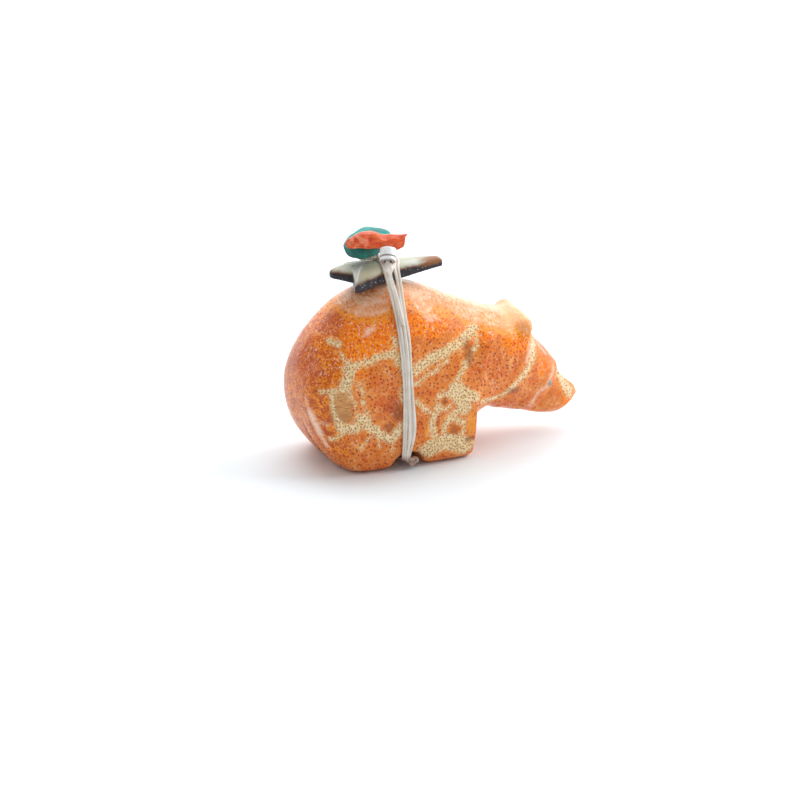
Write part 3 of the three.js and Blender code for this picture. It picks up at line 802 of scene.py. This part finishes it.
arrowhead = {
    # outline from the stem's end to the blunt tip: x, half width on the near and far side
    "near": [(-19.4, 0.7), (-18.3, 1.7), (-16.3, 2.3), (-17.5, 6.4), (-14.7, 5.2), (-12.3, 4.0),
             (-9.5, 3.2), (-5.5, 2.3), (-2, 1.6), (0.7, 1.0)],
    "far": [(-19.4, 0.7), (-18.3, 1.7), (-16.0, 2.4), (-15.6, 4.2), (-13.8, 4.6), (-12.0, 4.2),
            (-9.5, 3.7), (-5.5, 2.9), (-2, 2.1), (0.7, 1.3)],
    "centre": -12.5, "middle": 32.6, "rise": 0.026, "bend": 0.009, "stemLift": 0.6, "stemHalf": 3,
    "thick": 2.5, "thickAtEnds": 1.4, "stemBluntness": 0.5, "tipBluntness": 0.15,
    # share of the outline and share of the thickness, from the underside's middle over the edge
    "profile": [(0.03, 0.0), (0.5, 0.0), (0.93, 0.0), (0.985, 0.05), (1.0, 0.14), (1.003, 0.3),
                (1.0, 0.5), (0.985, 0.64), (0.95, 0.74), (0.89, 0.82), (0.8, 0.89), (0.66, 0.95),
                (0.5, 0.98), (0.25, 0.99), (0.03, 1.0)],
    "thickens": (4, 12),                 # it reaches its full thickness so far from the stem and the tip
    "spacing": 0.16, "chip": 0.06,       # of the points round its edge, and how far they stray
    "shoulder": (-15.4, 0.38),           # line across the back of the blade: x at the middle, x per y
    "bevel": (-13.19, 0.83, 0.033),      # curved arris in front of it: x = a + b y + c y y
    "scoop": 0.2,                        # depth of the face between them
    # the pale lines are painted highlights
    "paintedArrisHighlights": (0.16, 0.1),              # widths of the pale lines along the arris and the shoulder
    "darker": 0.55,                      # how much thicker the dark layer is in the blade
}


def arrowheadFinish():
    finish = Finish("bandedShell", Roughness=0.34, Specular_IOR_Level=0.28)
    height = finish.attribute("level") + (finish.noise(0.6, 3) - 0.5) * 0.5
    x = finish.parts(finish.place)[0]
    streaks = finish.noise(1.2, 4, 0.6, (0.25, 1.0, 2.2))
    cloud = finish.noise(0.35, 3)
    top = cloud.ramp((0.35, 190, 189, 162), (0.5, 184, 186, 164), (0.65, 192, 199, 186))
    tipped = (x + (streaks - 0.5) * 4 - height * 3).between(-9.5, -5.5)
    top = top.mix(paint(134, 80, 26), tipped * streaks.between(0.3, 0.55, 0.7, 1))
    top = top.mix(paint(198, 206, 204), finish.attribute("scoop") * 0.7)
    # painted highlights along the bevel's arris and the shoulder line
    top = top.mix(paint(242, 244, 240), finish.attribute("arris") * 0.8)
    height = height + x.between(-6, -1, 0, 0.45)
    brown = height.between(0.8, 1.3).blend(paint(44, 38, 44), paint(118, 74, 34))
    colour = brown.mix(top, height.between(1.0, 1.6))
    specks = finish.cells(0.5).between(0.14, 0.26, 1, 0)
    specks = specks * height.between(1.25, 0.9) * streaks.between(0.42, 0.6)
    colour = colour.mix(paint(186, 190, 198), specks * 0.75)
    finish.feed(Base_Color=colour, Roughness=streaks * 0.2 + 0.28)
    finish.bump(streaks * 0.5 + specks, 0.05, 0.5)
    return finish


def arrowheadThickness(x):
    a = arrowhead
    fromStem, fromTip = a["thickens"]
    return a["thickAtEnds"] + (a["thick"] - a["thickAtEnds"]) * np.minimum(
        smooth((x - a["near"][0][0]) / fromStem), smooth((a["near"][-1][0] - x) / fromTip))


def arrowheadEdge():
    # the outline seen from above, in short and even steps
    a = arrowhead
    corners = np.array([(x, -half) for x, half in a["near"]] + [(x, half) for x, half in a["far"]][::-1])
    edge = []
    for start, end in zip(corners, np.roll(corners, -1, 0)):
        count = max(2, int(np.hypot(*(end - start)) / a["spacing"]))
        edge.append(start + (end - start) * np.arange(count)[:, None] / count)
    return relaxed(np.concatenate(edge), 4)


def capped(rows, last):
    # one value for each point of a skin, its two end points included
    return np.concatenate([[0], np.concatenate(rows), [last]])


def dressArrowhead():
    a = arrowhead
    edge = arrowheadEdge()
    # a worked edge is never quite straight
    turn = np.arange(len(edge))
    ragged = np.sin(turn * 0.37) * np.sin(turn * 0.11 + 1) + 0.5 * np.sin(turn * 0.83)
    outward = unit(edge - np.array([a["centre"], 0]))
    stem = a["centre"] - a["near"][0][0]
    bluntness = np.where(edge[:, 0] < a["centre"], a["stemBluntness"], a["tipBluntness"])
    shoulderAt, shoulderSlope = a["shoulder"]
    bevelAt, bevelSlope, bevelBend = a["bevel"]
    bevelWidth, shoulderWidth = a["paintedArrisHighlights"]
    rings, levels, scoops, paintedArrisHighlights = [], [], [], []
    for share, height in evenly(a["profile"], 3 * len(a["profile"])):
        rim = edge + outward * (a["chip"] * ragged * smooth((share - 0.8) * 5))[:, None]
        x = a["centre"] + (rim[:, 0] - a["centre"]) * max(share, 0.001) ** bluntness
        y = rim[:, 1] * share
        inStem = smooth((a["centre"] - x) / stem)
        inStem *= 1 - smooth((np.abs(y) - a["stemHalf"] + 1) / a["stemHalf"])
        thick = arrowheadThickness(x)
        lift = a["rise"] * (x - a["centre"]) - a["bend"] * y * y + a["stemLift"] * inStem
        fromShoulder = x - shoulderAt - shoulderSlope * y
        fromBevel = x - bevelAt - bevelSlope * y - bevelBend * y * y
        upper = smooth((height - 0.45) * 4)
        near = smooth(0.7 - y / 2)
        across = np.clip(fromShoulder / np.maximum(fromShoulder - fromBevel, 0.3), 0, 1)
        scoop = np.sin(pi * across) * smooth(fromShoulder * 4) * smooth(-fromBevel * 4)
        behind = smooth(-fromShoulder * 3) * smooth((x + 18.5) / 2) * 0.6
        drop = upper * near * a["scoop"] * (scoop + behind)
        rings.append(np.stack([x, y, a["middle"] + lift + thick * (height - 0.5) - drop], 1))
        inBlade = (thick - a["thickAtEnds"]) / (a["thick"] - a["thickAtEnds"])
        levels.append(thick * height - a["darker"] * inBlade)
        scoops.append(upper * smooth(fromShoulder * 6) * smooth(-fromBevel * 5))
        lines = np.exp(-(fromBevel / bevelWidth) ** 2)
        lines += 0.6 * np.exp(-(fromShoulder / shoulderWidth) ** 2)
        paintedArrisHighlights.append(upper * np.minimum(lines, 1) * smooth(fromShoulder * 2 + 1) * smooth(-y / 1.5))
    rings = np.array(rings)
    points, faces = skin(rings, rings[0].mean(0), rings[-1].mean(0))
    makePiece("arrowhead_shell", points, faces, arrowheadFinish(), ["arrowhead"], {
        "level": capped(levels, a["thick"]), "scoop": capped(scoops, 0), "arris": capped(paintedArrisHighlights, 0)})


dressArrowhead()

nugget = {
    "at": (-12.15, 1.6, 37.05), "radii": (4.55, 3.18, 1.74), "power": 2.9,  # a higher power is squarer
    "turn": 0.64, "roll": -0.117,  # about the vertical and about its short axis, in radians
    "across": 128, "up": 72,
}


def turquoiseFinish():
    finish = Finish("turquoise", Roughness=0.36, Specular_IOR_Level=0.16)
    cloud = finish.noise(0.45, 4, 0.6)
    z = finish.parts(finish.place)[2]
    # painted shade and light: dark green below, and bright cyan on top where the light falls
    colour = cloud.ramp((0.3, 26, 88, 76), (0.5, 38, 106, 95), (0.7, 52, 128, 117))
    paintedLitTop = cloud.ramp((0.3, 0, 110, 104), (0.5, 0, 138, 130), (0.7, 8, 168, 158))
    colour = colour.mix(paintedLitTop, (z + (cloud - 0.5) * 1.2).between(36.9, 38.1))
    crack = finish.cells(2.6, randomness=0.9, feature="DISTANCE_TO_EDGE").between(0.0, 0.03, 1, 0)
    crack = crack * finish.noise(0.7).between(0.5, 0.62)
    specks = finish.cells(0.9).between(0.1, 0.2, 1, 0) * finish.noise(0.8).between(0.5, 0.6)
    colour = colour.mix(paint(72, 70, 42), crack * 0.6).mix(paint(40, 34, 24), specks * 0.8)
    finish.feed(Base_Color=colour, Roughness=cloud * 0.2 + 0.28)
    finish.bump(finish.noise(1.2, 4) - crack * 0.5, 0.07, 0.5)
    return finish


def turned(points, angle, i, j):
    # points turned from axis i towards axis j
    c, s = cos(angle), sin(angle)
    moved = points.copy()
    moved[:, i] = c * points[:, i] - s * points[:, j]
    moved[:, j] = s * points[:, i] + c * points[:, j]
    return moved


def dressNugget():
    n = nugget
    tilt = np.linspace(-pi / 2, pi / 2, n["up"])[1:-1]
    tilt, turn = np.meshgrid(tilt, roundTurn(n["across"]), indexing="ij")
    p = np.stack([np.cos(tilt) * np.cos(turn), np.cos(tilt) * np.sin(turn), np.sin(tilt)], -1)
    p = np.concatenate([[[0, 0, -1.0]], p.reshape(-1, 3), [[0, 0, 1.0]]])
    size = (np.abs(p) ** n["power"]).sum(1) ** (1 / n["power"])
    lump = 1 + 0.03 * np.sin(3 * p[:, 0] + 2 * p[:, 1]) + 0.02 * np.sin(4 * p[:, 1] - 2 * p[:, 0])
    lump += 0.012 * np.sin(9 * p[:, 0] + 5 * p[:, 2]) + 0.01 * np.sin(11 * p[:, 1] - 7 * p[:, 2] + 1)
    own = p * (lump / size)[:, None] * np.array(n["radii"])
    own = turned(turned(own, n["roll"], 2, 0), n["turn"], 0, 1)
    makePiece("turquoise_stone", own + np.array(n["at"]), ringFaces(n["up"] - 2, n["across"]),
              turquoiseFinish(), ["turquoise_nugget"])


dressNugget()

chip = {
    "y": -3.5,
    # x, z, half height and half depth, from the round end to the tail
    "sections": [(-18.1, 39.0, 0.05, 0.05), (-17.6, 39.05, 0.7, 0.7), (-16.6, 39.2, 1.08, 1.05),
                 (-15.0, 39.35, 1.36, 1.4), (-13.0, 39.15, 1.45, 1.45), (-11.0, 38.65, 1.26, 1.25),
                 (-9.0, 38.35, 1.29, 1.05), (-7.9, 38.35, 1.2, 0.8), (-7.5, 38.4, 1.15, 0.5)],
    "tail": (0.15, 0.6),   # how far the tail's upper side leans past its lower one, and its tip
    "pit": (-14.3, 39.9, 0.5, 0.4),  # x, z, radius and depth of a worm hole on the near side
    "around": 72, "along": 110,
}


def redCoralFinish():
    finish = Finish("redCoral", Roughness=0.34, Specular_IOR_Level=0.3,
                    Coat_Weight=0.1, Coat_Roughness=0.12)
    grain = finish.noise(1.3, 4, 0.6, (0.35, 2.0, 2.0))
    mottle = finish.noise(0.8, 3)
    x = finish.parts(finish.place)[0]
    colour = (grain * 0.6 + mottle * 0.4).ramp(
        (0.35, 188, 54, 18), (0.5, 216, 82, 32), (0.66, 240, 124, 66))
    salmon = x.between(-13, -16) * mottle.between(0.45, 0.6)
    colour = colour.mix(paint(244, 150, 118), salmon * 0.75)
    finish.feed(Base_Color=colour, Roughness=grain * 0.3 + 0.2)
    finish.bump(grain, 0.09, 0.7)
    return finish


def dressChip():
    c = chip
    table = evenly(c["sections"], c["along"])[1:]
    turn = roundTurn(c["around"])
    x, z, high, deep = (table[:, i][:, None] for i in range(4))
    grooves = 1 + 0.02 * np.sin(7 * turn + 0.5 * x) + 0.015 * np.sin(13 * turn - 0.8 * x)
    lumps = 1 + 0.04 * np.sin(1.4 * x + 2 * turn) + 0.03 * np.sin(2.3 * x - turn + 1)
    spread = grooves * lumps
    upward = np.sin(turn)[None, :] + 0 * x
    y = c["y"] + deep * spread * np.cos(turn)
    height = z + high * spread * upward
    lean, tip = c["tail"]
    lengthen = smooth((x + 9.5) / 1.8)
    x = x + lengthen * (lean * upward + tip * np.maximum(upward, 0) ** 6)
    pitX, pitZ, radius, depth = c["pit"]
    pit = np.exp(-((x - pitX) ** 2 + (height - pitZ) ** 2) / radius ** 2) * (np.cos(turn) < 0)
    rings = np.stack([x, y + depth * pit, height], -1)
    start = np.array([c["sections"][0][0], c["y"], c["sections"][0][1]])
    end = rings[-1].mean(0) - np.array([0.3, 0, 0])
    points, faces = skin(rings, start, end)
    makePiece("coral_chip_red", points, faces, redCoralFinish(), ["coral_chip"])


dressChip()

bead = {
    "radius": 1.33, "bore": 0.62, "corner": 0.13, "around": 96,
    "at": (-11.62, -6.45, 37.2), "axis": (0.25, 0.57, 0.78),
    # each one's name, its solid, both ends along the axis, and how brown its upper and lower rims are
    "pair": [("shell_bead_thin", "shell_bead_lower", -1.15, -0.48, 0.75, 0.8),
             ("shell_bead_white", "shell_bead_upper", -0.42, 1.15, 0.0, 0.8)],
}


def shellFinish(name, rimAbove, rimBelow):
    # rims are the shares of brown at a bead's upper and lower edge
    finish = Finish(name, Roughness=0.3, IOR=1.53, Coat_Weight=0.2, Coat_Roughness=0.1)
    bands = finish.noise(1.6, 3, 0.5, (1.0, 1.0, 2.5))
    colour = bands.ramp((0.3, 226, 228, 228), (0.6, 244, 246, 246))
    rim = finish.attribute("rim") + (finish.noise(2.0) - 0.5) * 0.3
    brown = rim.between(0.78, 0.97) * rimAbove + rim.between(-0.66, -0.9) * rimBelow
    colour = colour.mix(paint(112, 66, 44), brown * 0.85)
    colour = colour.mix(paint(58, 36, 26), finish.attribute("bore"))
    finish.feed(Base_Color=colour, Roughness=bands * 0.2 + 0.2)
    finish.bump(bands, 0.03, 0.3)
    return finish


def dressBead(name, node, low, high, rimAbove, rimBelow):
    # a turned ring with soft corners, along the bead line
    b = bead
    corner = b["corner"]
    inner, outer = b["bore"] + corner, b["radius"] - corner
    line = []
    for cx, cz, start in ((outer, high - corner, 0), (inner, high - corner, 90),
                          (inner, low + corner, 180), (outer, low + corner, 270)):
        for a in np.radians(np.linspace(start, start + 90, 6)):
            line.append((cx + corner * cos(a), cz + corner * sin(a)))
    line = np.array(line)
    turn = roundTurn(b["around"])
    upright = Vector(b["axis"]).normalized().to_track_quat("Z", "Y").to_matrix()
    flat = np.stack([line[None, :, 0] * np.cos(turn)[:, None], line[None, :, 0] * np.sin(turn)[:, None],
                     line[None, :, 1] + 0 * turn[:, None]], -1)
    wobble = 1 + 0.015 * np.sin(2 * turn + 1)[:, None, None]
    points = (flat * wobble).reshape(-1, 3) @ np.array(upright).T + np.array(b["at"])
    faces = ringFaces(b["around"], len(line), closedAlong=True)
    middle = (line[:, 1] - (low + high) / 2) / ((high - low) / 2)
    rim = np.tile(middle, b["around"])
    inBore = np.tile(smooth((inner - line[:, 0]) / corner), b["around"])
    finish = shellFinish(name + "_shell", rimAbove, rimBelow)
    makePiece(name, points, faces, finish, [node], {"rim": rim, "bore": inBore})


for each in bead["pair"]:
    dressBead(*each)


# sinew

def sinewFinish():
    finish = Finish("sinew", Roughness=0.4, IOR=1.5, Coat_Weight=0.1, Coat_Roughness=0.2)
    # fibres follow the thread: across it they are fine, along it they are long
    along = finish.attribute("thread", "Vector")
    fibres = finish.noise(1.0, 3, 0.6, place=along)
    cloud = finish.noise(0.5, 2)
    colour = (fibres * 0.75 + cloud * 0.25).ramp(
        (0.3, 186, 168, 148), (0.45, 216, 204, 190), (0.62, 238, 233, 226))
    z = finish.parts(finish.place)[2]
    # painted shade: darker brown near the floor, where the knot and the thread under the belly lie in
    # shadow
    colour = colour.mix(paint(140, 100, 74), z.between(3.4, 2.0) * 0.75)
    finish.feed(Base_Color=colour, Roughness=fibres * 0.3 + 0.25)
    finish.bump(fibres, 0.05, 0.7)
    return finish


def sweep(path, wide, halfWidth, halfThick, around, closed, fibres, twist):
    # a thread with an oval section, widest along wide; fibres are ridges that wind round it
    ahead = np.roll(path, -1, 0) - np.roll(path, 1, 0)
    if not closed:
        ahead[0], ahead[-1] = path[1] - path[0], path[-1] - path[-2]
    ahead = unit(ahead)
    out = unit(np.cross(ahead, wide))
    across = np.cross(out, ahead)
    along = np.arange(len(path))[:, None] / len(path)
    turn = roundTurn(around)[None, :]
    ridge = 1 + 0.07 * np.cos(fibres * turn + twist * 2 * pi * along)
    wideShare = (np.broadcast_to(halfWidth, len(path))[:, None] * np.cos(turn) * ridge)[..., None]
    thickShare = (np.broadcast_to(halfThick, len(path))[:, None] * np.sin(turn) * ridge)[..., None]
    rings = path[:, None, :] + across[:, None, :] * wideShare + out[:, None, :] * thickShare
    # places for the fibres' pattern: round the thread, and slowly along it
    length = np.linalg.norm(np.diff(path, axis=0), axis=1).sum() * along
    pattern = np.stack([2.2 * np.cos(turn) + 0 * length, 2.2 * np.sin(turn) + 0 * length,
                        0.22 * length + 0 * turn], -1).reshape(-1, 3)
    if closed:
        return rings.reshape(-1, 3), ringFaces(len(path), around, closedAlong=True), pattern
    return (*skin(rings, path[0], path[-1]), np.concatenate([pattern[:1], pattern, pattern[-1:]]))


def gather(parts):
    # several closed skins as one list of points and faces
    points, faces, patterns, count = [], [], [], 0
    for number, (own, ownFaces, pattern) in enumerate(parts):
        faces += [[i + count for i in face] for face in ownFaces]
        points.append(own)
        patterns.append(pattern + 7.0 * number)
        count += len(own)
    return np.concatenate(points), faces, np.concatenate(patterns)


sinewThread = sinewFinish()


def makeThread(name, parts, nodes=()):
    points, faces, pattern = gather(parts)
    makePiece(name, points, faces, sinewThread, nodes, {"thread": pattern})


def lifted(path, tree, height):
    # raises a path to its least height over the bear's skin
    moved = path.copy()
    for i, p in enumerate(path):
        at, normal, _, _ = tree.find_nearest(Vector(p))
        above = (Vector(p) - at).dot(normal)
        moved[i] = p + np.array(normal) * max(height - above, 0)
    return moved


tie = {
    "x": -10.1, "hub": 14.0,  # height of the loop's middle
    # y, z from the top down the near side, then along the belly and up the far side
    "line": [(0, 34.35), (-3.7, 33.9), (-5.2, 31.8), (-7.6, 28.0), (-9.95, 23.4), (-11.3, 18.5),
             (-11.7, 13.5), (-11.7, 7.5), (-11.2, 2.9), (-9.4, 1.5), (-5, 1.5), (0, 1.5), (5, 1.5),
             (9.4, 1.5), (11.2, 2.9), (11.7, 7.5), (11.7, 13.5), (11.3, 18.5), (9.95, 23.4), (7.6, 28.0),
             (5.2, 31.8), (3.7, 33.9)],
    # how far each turn lies ahead of x, at the points above
    "turns": [
        [-0.3, -1.0, -0.9, -0.72, -0.68, -0.62, -0.52, -0.62, -0.66, -0.1, -0.2,
         -0.3, -0.4, -0.5, -0.7, -0.7, -0.6, -0.7, -0.8, -0.9, -0.9, -0.6],
        [0.0, -0.6, -0.55, -0.3, -0.28, -0.22, -0.2, -0.3, -0.35, 0.1, 0.0,
         -0.1, -0.1, -0.2, -0.3, -0.25, -0.3, -0.2, -0.3, -0.4, -0.4, -0.2],
        [2.2, 0.75, 0.72, 0.42, 0.25, 0.15, 0.12, 0.2, 0.0, 0.5, 0.4,
         0.3, 0.2, 0.2, 0.2, 0.15, 0.1, 0.2, 0.1, 0.0, 0.4, 1.0],
        [2.5, 1.1, 1.05, 0.72, 0.6, 0.42, 0.48, 0.7, 0.25, 0.8, 0.7,
         0.6, 0.6, 0.6, 0.55, 0.6, 0.5, 0.6, 0.5, 0.5, 0.9, 1.6],
        [2.8, 1.45, 1.25, 0.95, 0.92, 0.68, 0.85, 1.2, 0.45, 1.0, 1.0,
         0.9, 0.9, 0.9, 0.9, 0.95, 0.9, 0.9, 0.9, 1.0, 1.3, 2.0],
    ],
    "halfWidth": 0.25, "halfThick": 0.15, "steps": 440, "around": 16, "fibres": 6,
    "hug": 0.3, "layer": 0.16,  # least height over the skin, and how much higher each third turn lies
}


def dressTurns():
    t = tie
    tree = BVHTree.FromPolygons(bearPoints.tolist(), [list(p.vertices) for p in bearPiece.data.polygons])
    count = len(t["line"])
    place = count + np.linspace(0, count, t["steps"], endpoint=False)
    loop = through(np.array(t["line"] * 3), place)
    outward = unit(loop - np.array([0, t["hub"]]))
    parts = []
    for number, offsets in enumerate(t["turns"]):
        aside = through(np.array(offsets * 3), place)
        layer = t["layer"] * (number % 3)
        own = loop - outward * (2 * t["layer"] - layer)
        path = lifted(np.stack([t["x"] + aside, own[:, 0], own[:, 1]], 1), tree, t["hug"] + layer)
        path = relaxed(path, 3)
        breathe = 1 + 0.12 * np.sin(2 * pi * np.arange(len(path)) / len(path) * 5 + number)
        parts.append(sweep(path, (1, 0, 0), t["halfWidth"] * breathe, t["halfThick"], t["around"],
                           closed=True, fibres=t["fibres"], twist=number - 2))
    makeThread("sinew_turns", parts, ["sinew_tie"])


dressTurns()

strand = {
    "radius": 0.26,
    "route": [(-10.0, -9.2, 25.6), (-10.7, -8.2, 30.0), (-11.6, -7.7, 33.9), (-11.94, -7.18, 36.2),
              (-11.62, -6.45, 37.2), (-11.32, -5.77, 38.12), (-11.1, -4.6, 38.45), (-10.9, -2.9, 38.15),
              (-11.0, -0.9, 37.5), (-11.3, 1.6, 37.1), (-11.2, 4.0, 36.9), (-10.8, 6.3, 35.6),
              (-9.4, 7.4, 32.6), (-9.6, 8.3, 29.2), (-10.1, 9.5, 25.0)],
    "steps": 300, "around": 14,
    # how much, at what height and over what length: drawn thin between bead and chip,
    # and wound into a small ball under the beads
    "thinned": (0.9, 38.4, 0.6), "wad": (0.8, 35.3, 0.7),
}


def dressStrand():
    s = strand
    path = evenly(s["route"], s["steps"])
    swell = s["radius"] * (1 + 0.12 * np.sin(np.linspace(0, 30, len(path))))
    near = path[:, 1] < -2
    depth, height, spread = s["thinned"]
    swell *= 1 - depth * np.exp(-((path[:, 2] - height) / spread) ** 2) * near
    depth, height, spread = s["wad"]
    swell += depth * np.exp(-((path[:, 2] - height) / spread) ** 2) * near
    thread = sweep(path, (1, 0.2, 0), swell, swell * 0.9, s["around"], closed=False, fibres=4, twist=6)
    makeThread("sinew_strand", [thread])


dressStrand()

# flat coil wound between the arrowhead and the nugget
pad = {"at": (-11.9, 2.1, 34.75), "radii": (1.7, 1.4, 0.42), "turns": 6, "radius": 0.26, "steps": 260}


def dressPad():
    p = pad
    along = np.linspace(0, 1, p["steps"])
    a = 2 * pi * p["turns"] * along
    coil = np.stack([2 * along - 1, np.cos(a), np.sin(a)], 1)
    coil = coil * np.array(p["radii"]) + np.array(p["at"])
    thread = sweep(coil, (1, 0.1, 0.1), p["radius"], p["radius"], around=12,
                   closed=False, fibres=4, twist=3)
    makeThread("sinew_pad", [thread])


dressPad()

knot = {"at": (-8.7, -10.1, 1.45), "size": 0.24, "shape": (1.25, 1.0, 0.85), "radius": 0.34,
        "steps": 120}


def dressKnot():
    k = knot
    a = roundTurn(k["steps"])
    tied = np.stack([np.sin(a) + 2 * np.sin(2 * a), -np.sin(3 * a) * 0.9,
                     np.cos(a) - 2 * np.cos(2 * a)], 1)
    tied = tied * k["size"] * np.array(k["shape"]) + np.array(k["at"])
    thread = sweep(tied, (0.3, 1, 0.2), k["radius"], k["radius"] * 0.9, around=14,
                   closed=True, fibres=4, twist=3)
    makeThread("sinew_knot", [thread])


dressKnot()


# inlaid eyes

def eyeFinish():
    finish = Finish("eyeTurquoise", Roughness=0.3, IOR=1.6, Coat_Weight=0.2, Coat_Roughness=0.1)
    cloud = finish.noise(1.4, 3)
    finish.feed(Base_Color=cloud.ramp((0.35, 130, 152, 156), (0.65, 172, 186, 188)))
    return finish


def dressEyes():
    stone = eyeFinish().material
    for node in ("eye_right", "eye_left"):
        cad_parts[node].data.materials.clear()
        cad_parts[node].data.materials.append(stone)
    print("finished the eyes")


dressEyes()


# floor, world and lights

light = {
    "world": 0.56,
    "panels": [
        # name, azimuth and elevation of the panel seen from the bear, distance, width, height, watts
        ("backPanel", 170, 22, 1.3, 2.4, 1.0, 11),
        ("topPanel", 165, 62, 1.1, 1.0, 0.8, 6),
        ("rightPanel", 88, 34, 1.2, 1.0, 1.0, 11.5),
    ],
    "floorHalf": 6.0, "paper": (0.84, 0.9, 0.94, 1),
}


def makeStage():
    world = bpy.data.worlds.new("studio")
    bpy.context.scene.world = world
    world.use_nodes = True
    sky = world.node_tree.nodes["Background"].inputs
    sky["Color"].default_value = (1, 1, 1, 1)
    sky["Strength"].default_value = light["world"]
    for name, azimuth, elevation, distance, width, height, watts in light["panels"]:
        lamp = bpy.data.lights.new(name, "AREA")
        lamp.shape = "RECTANGLE"
        lamp.size, lamp.size_y, lamp.energy = width, height, watts
        towards = directionTo(azimuth, elevation)
        standAt(addToScene(name, lamp), towards * distance, towards)
    floor = bpy.data.meshes.new("floor")
    half = light["floorHalf"]
    corners = [(-half, -half, 0), (half, -half, 0), (half, half, 0), (-half, half, 0)]
    floor.from_pydata(corners, [], [[0, 1, 2, 3]])
    floor.materials.append(Finish("whitePaper", Base_Color=light["paper"], Roughness=0.7).material)
    addToScene("floor", floor)
    bpy.context.scene.view_settings.view_transform = "Standard"
    print("set the floor and", len(light["panels"]), "lights")


makeStage()
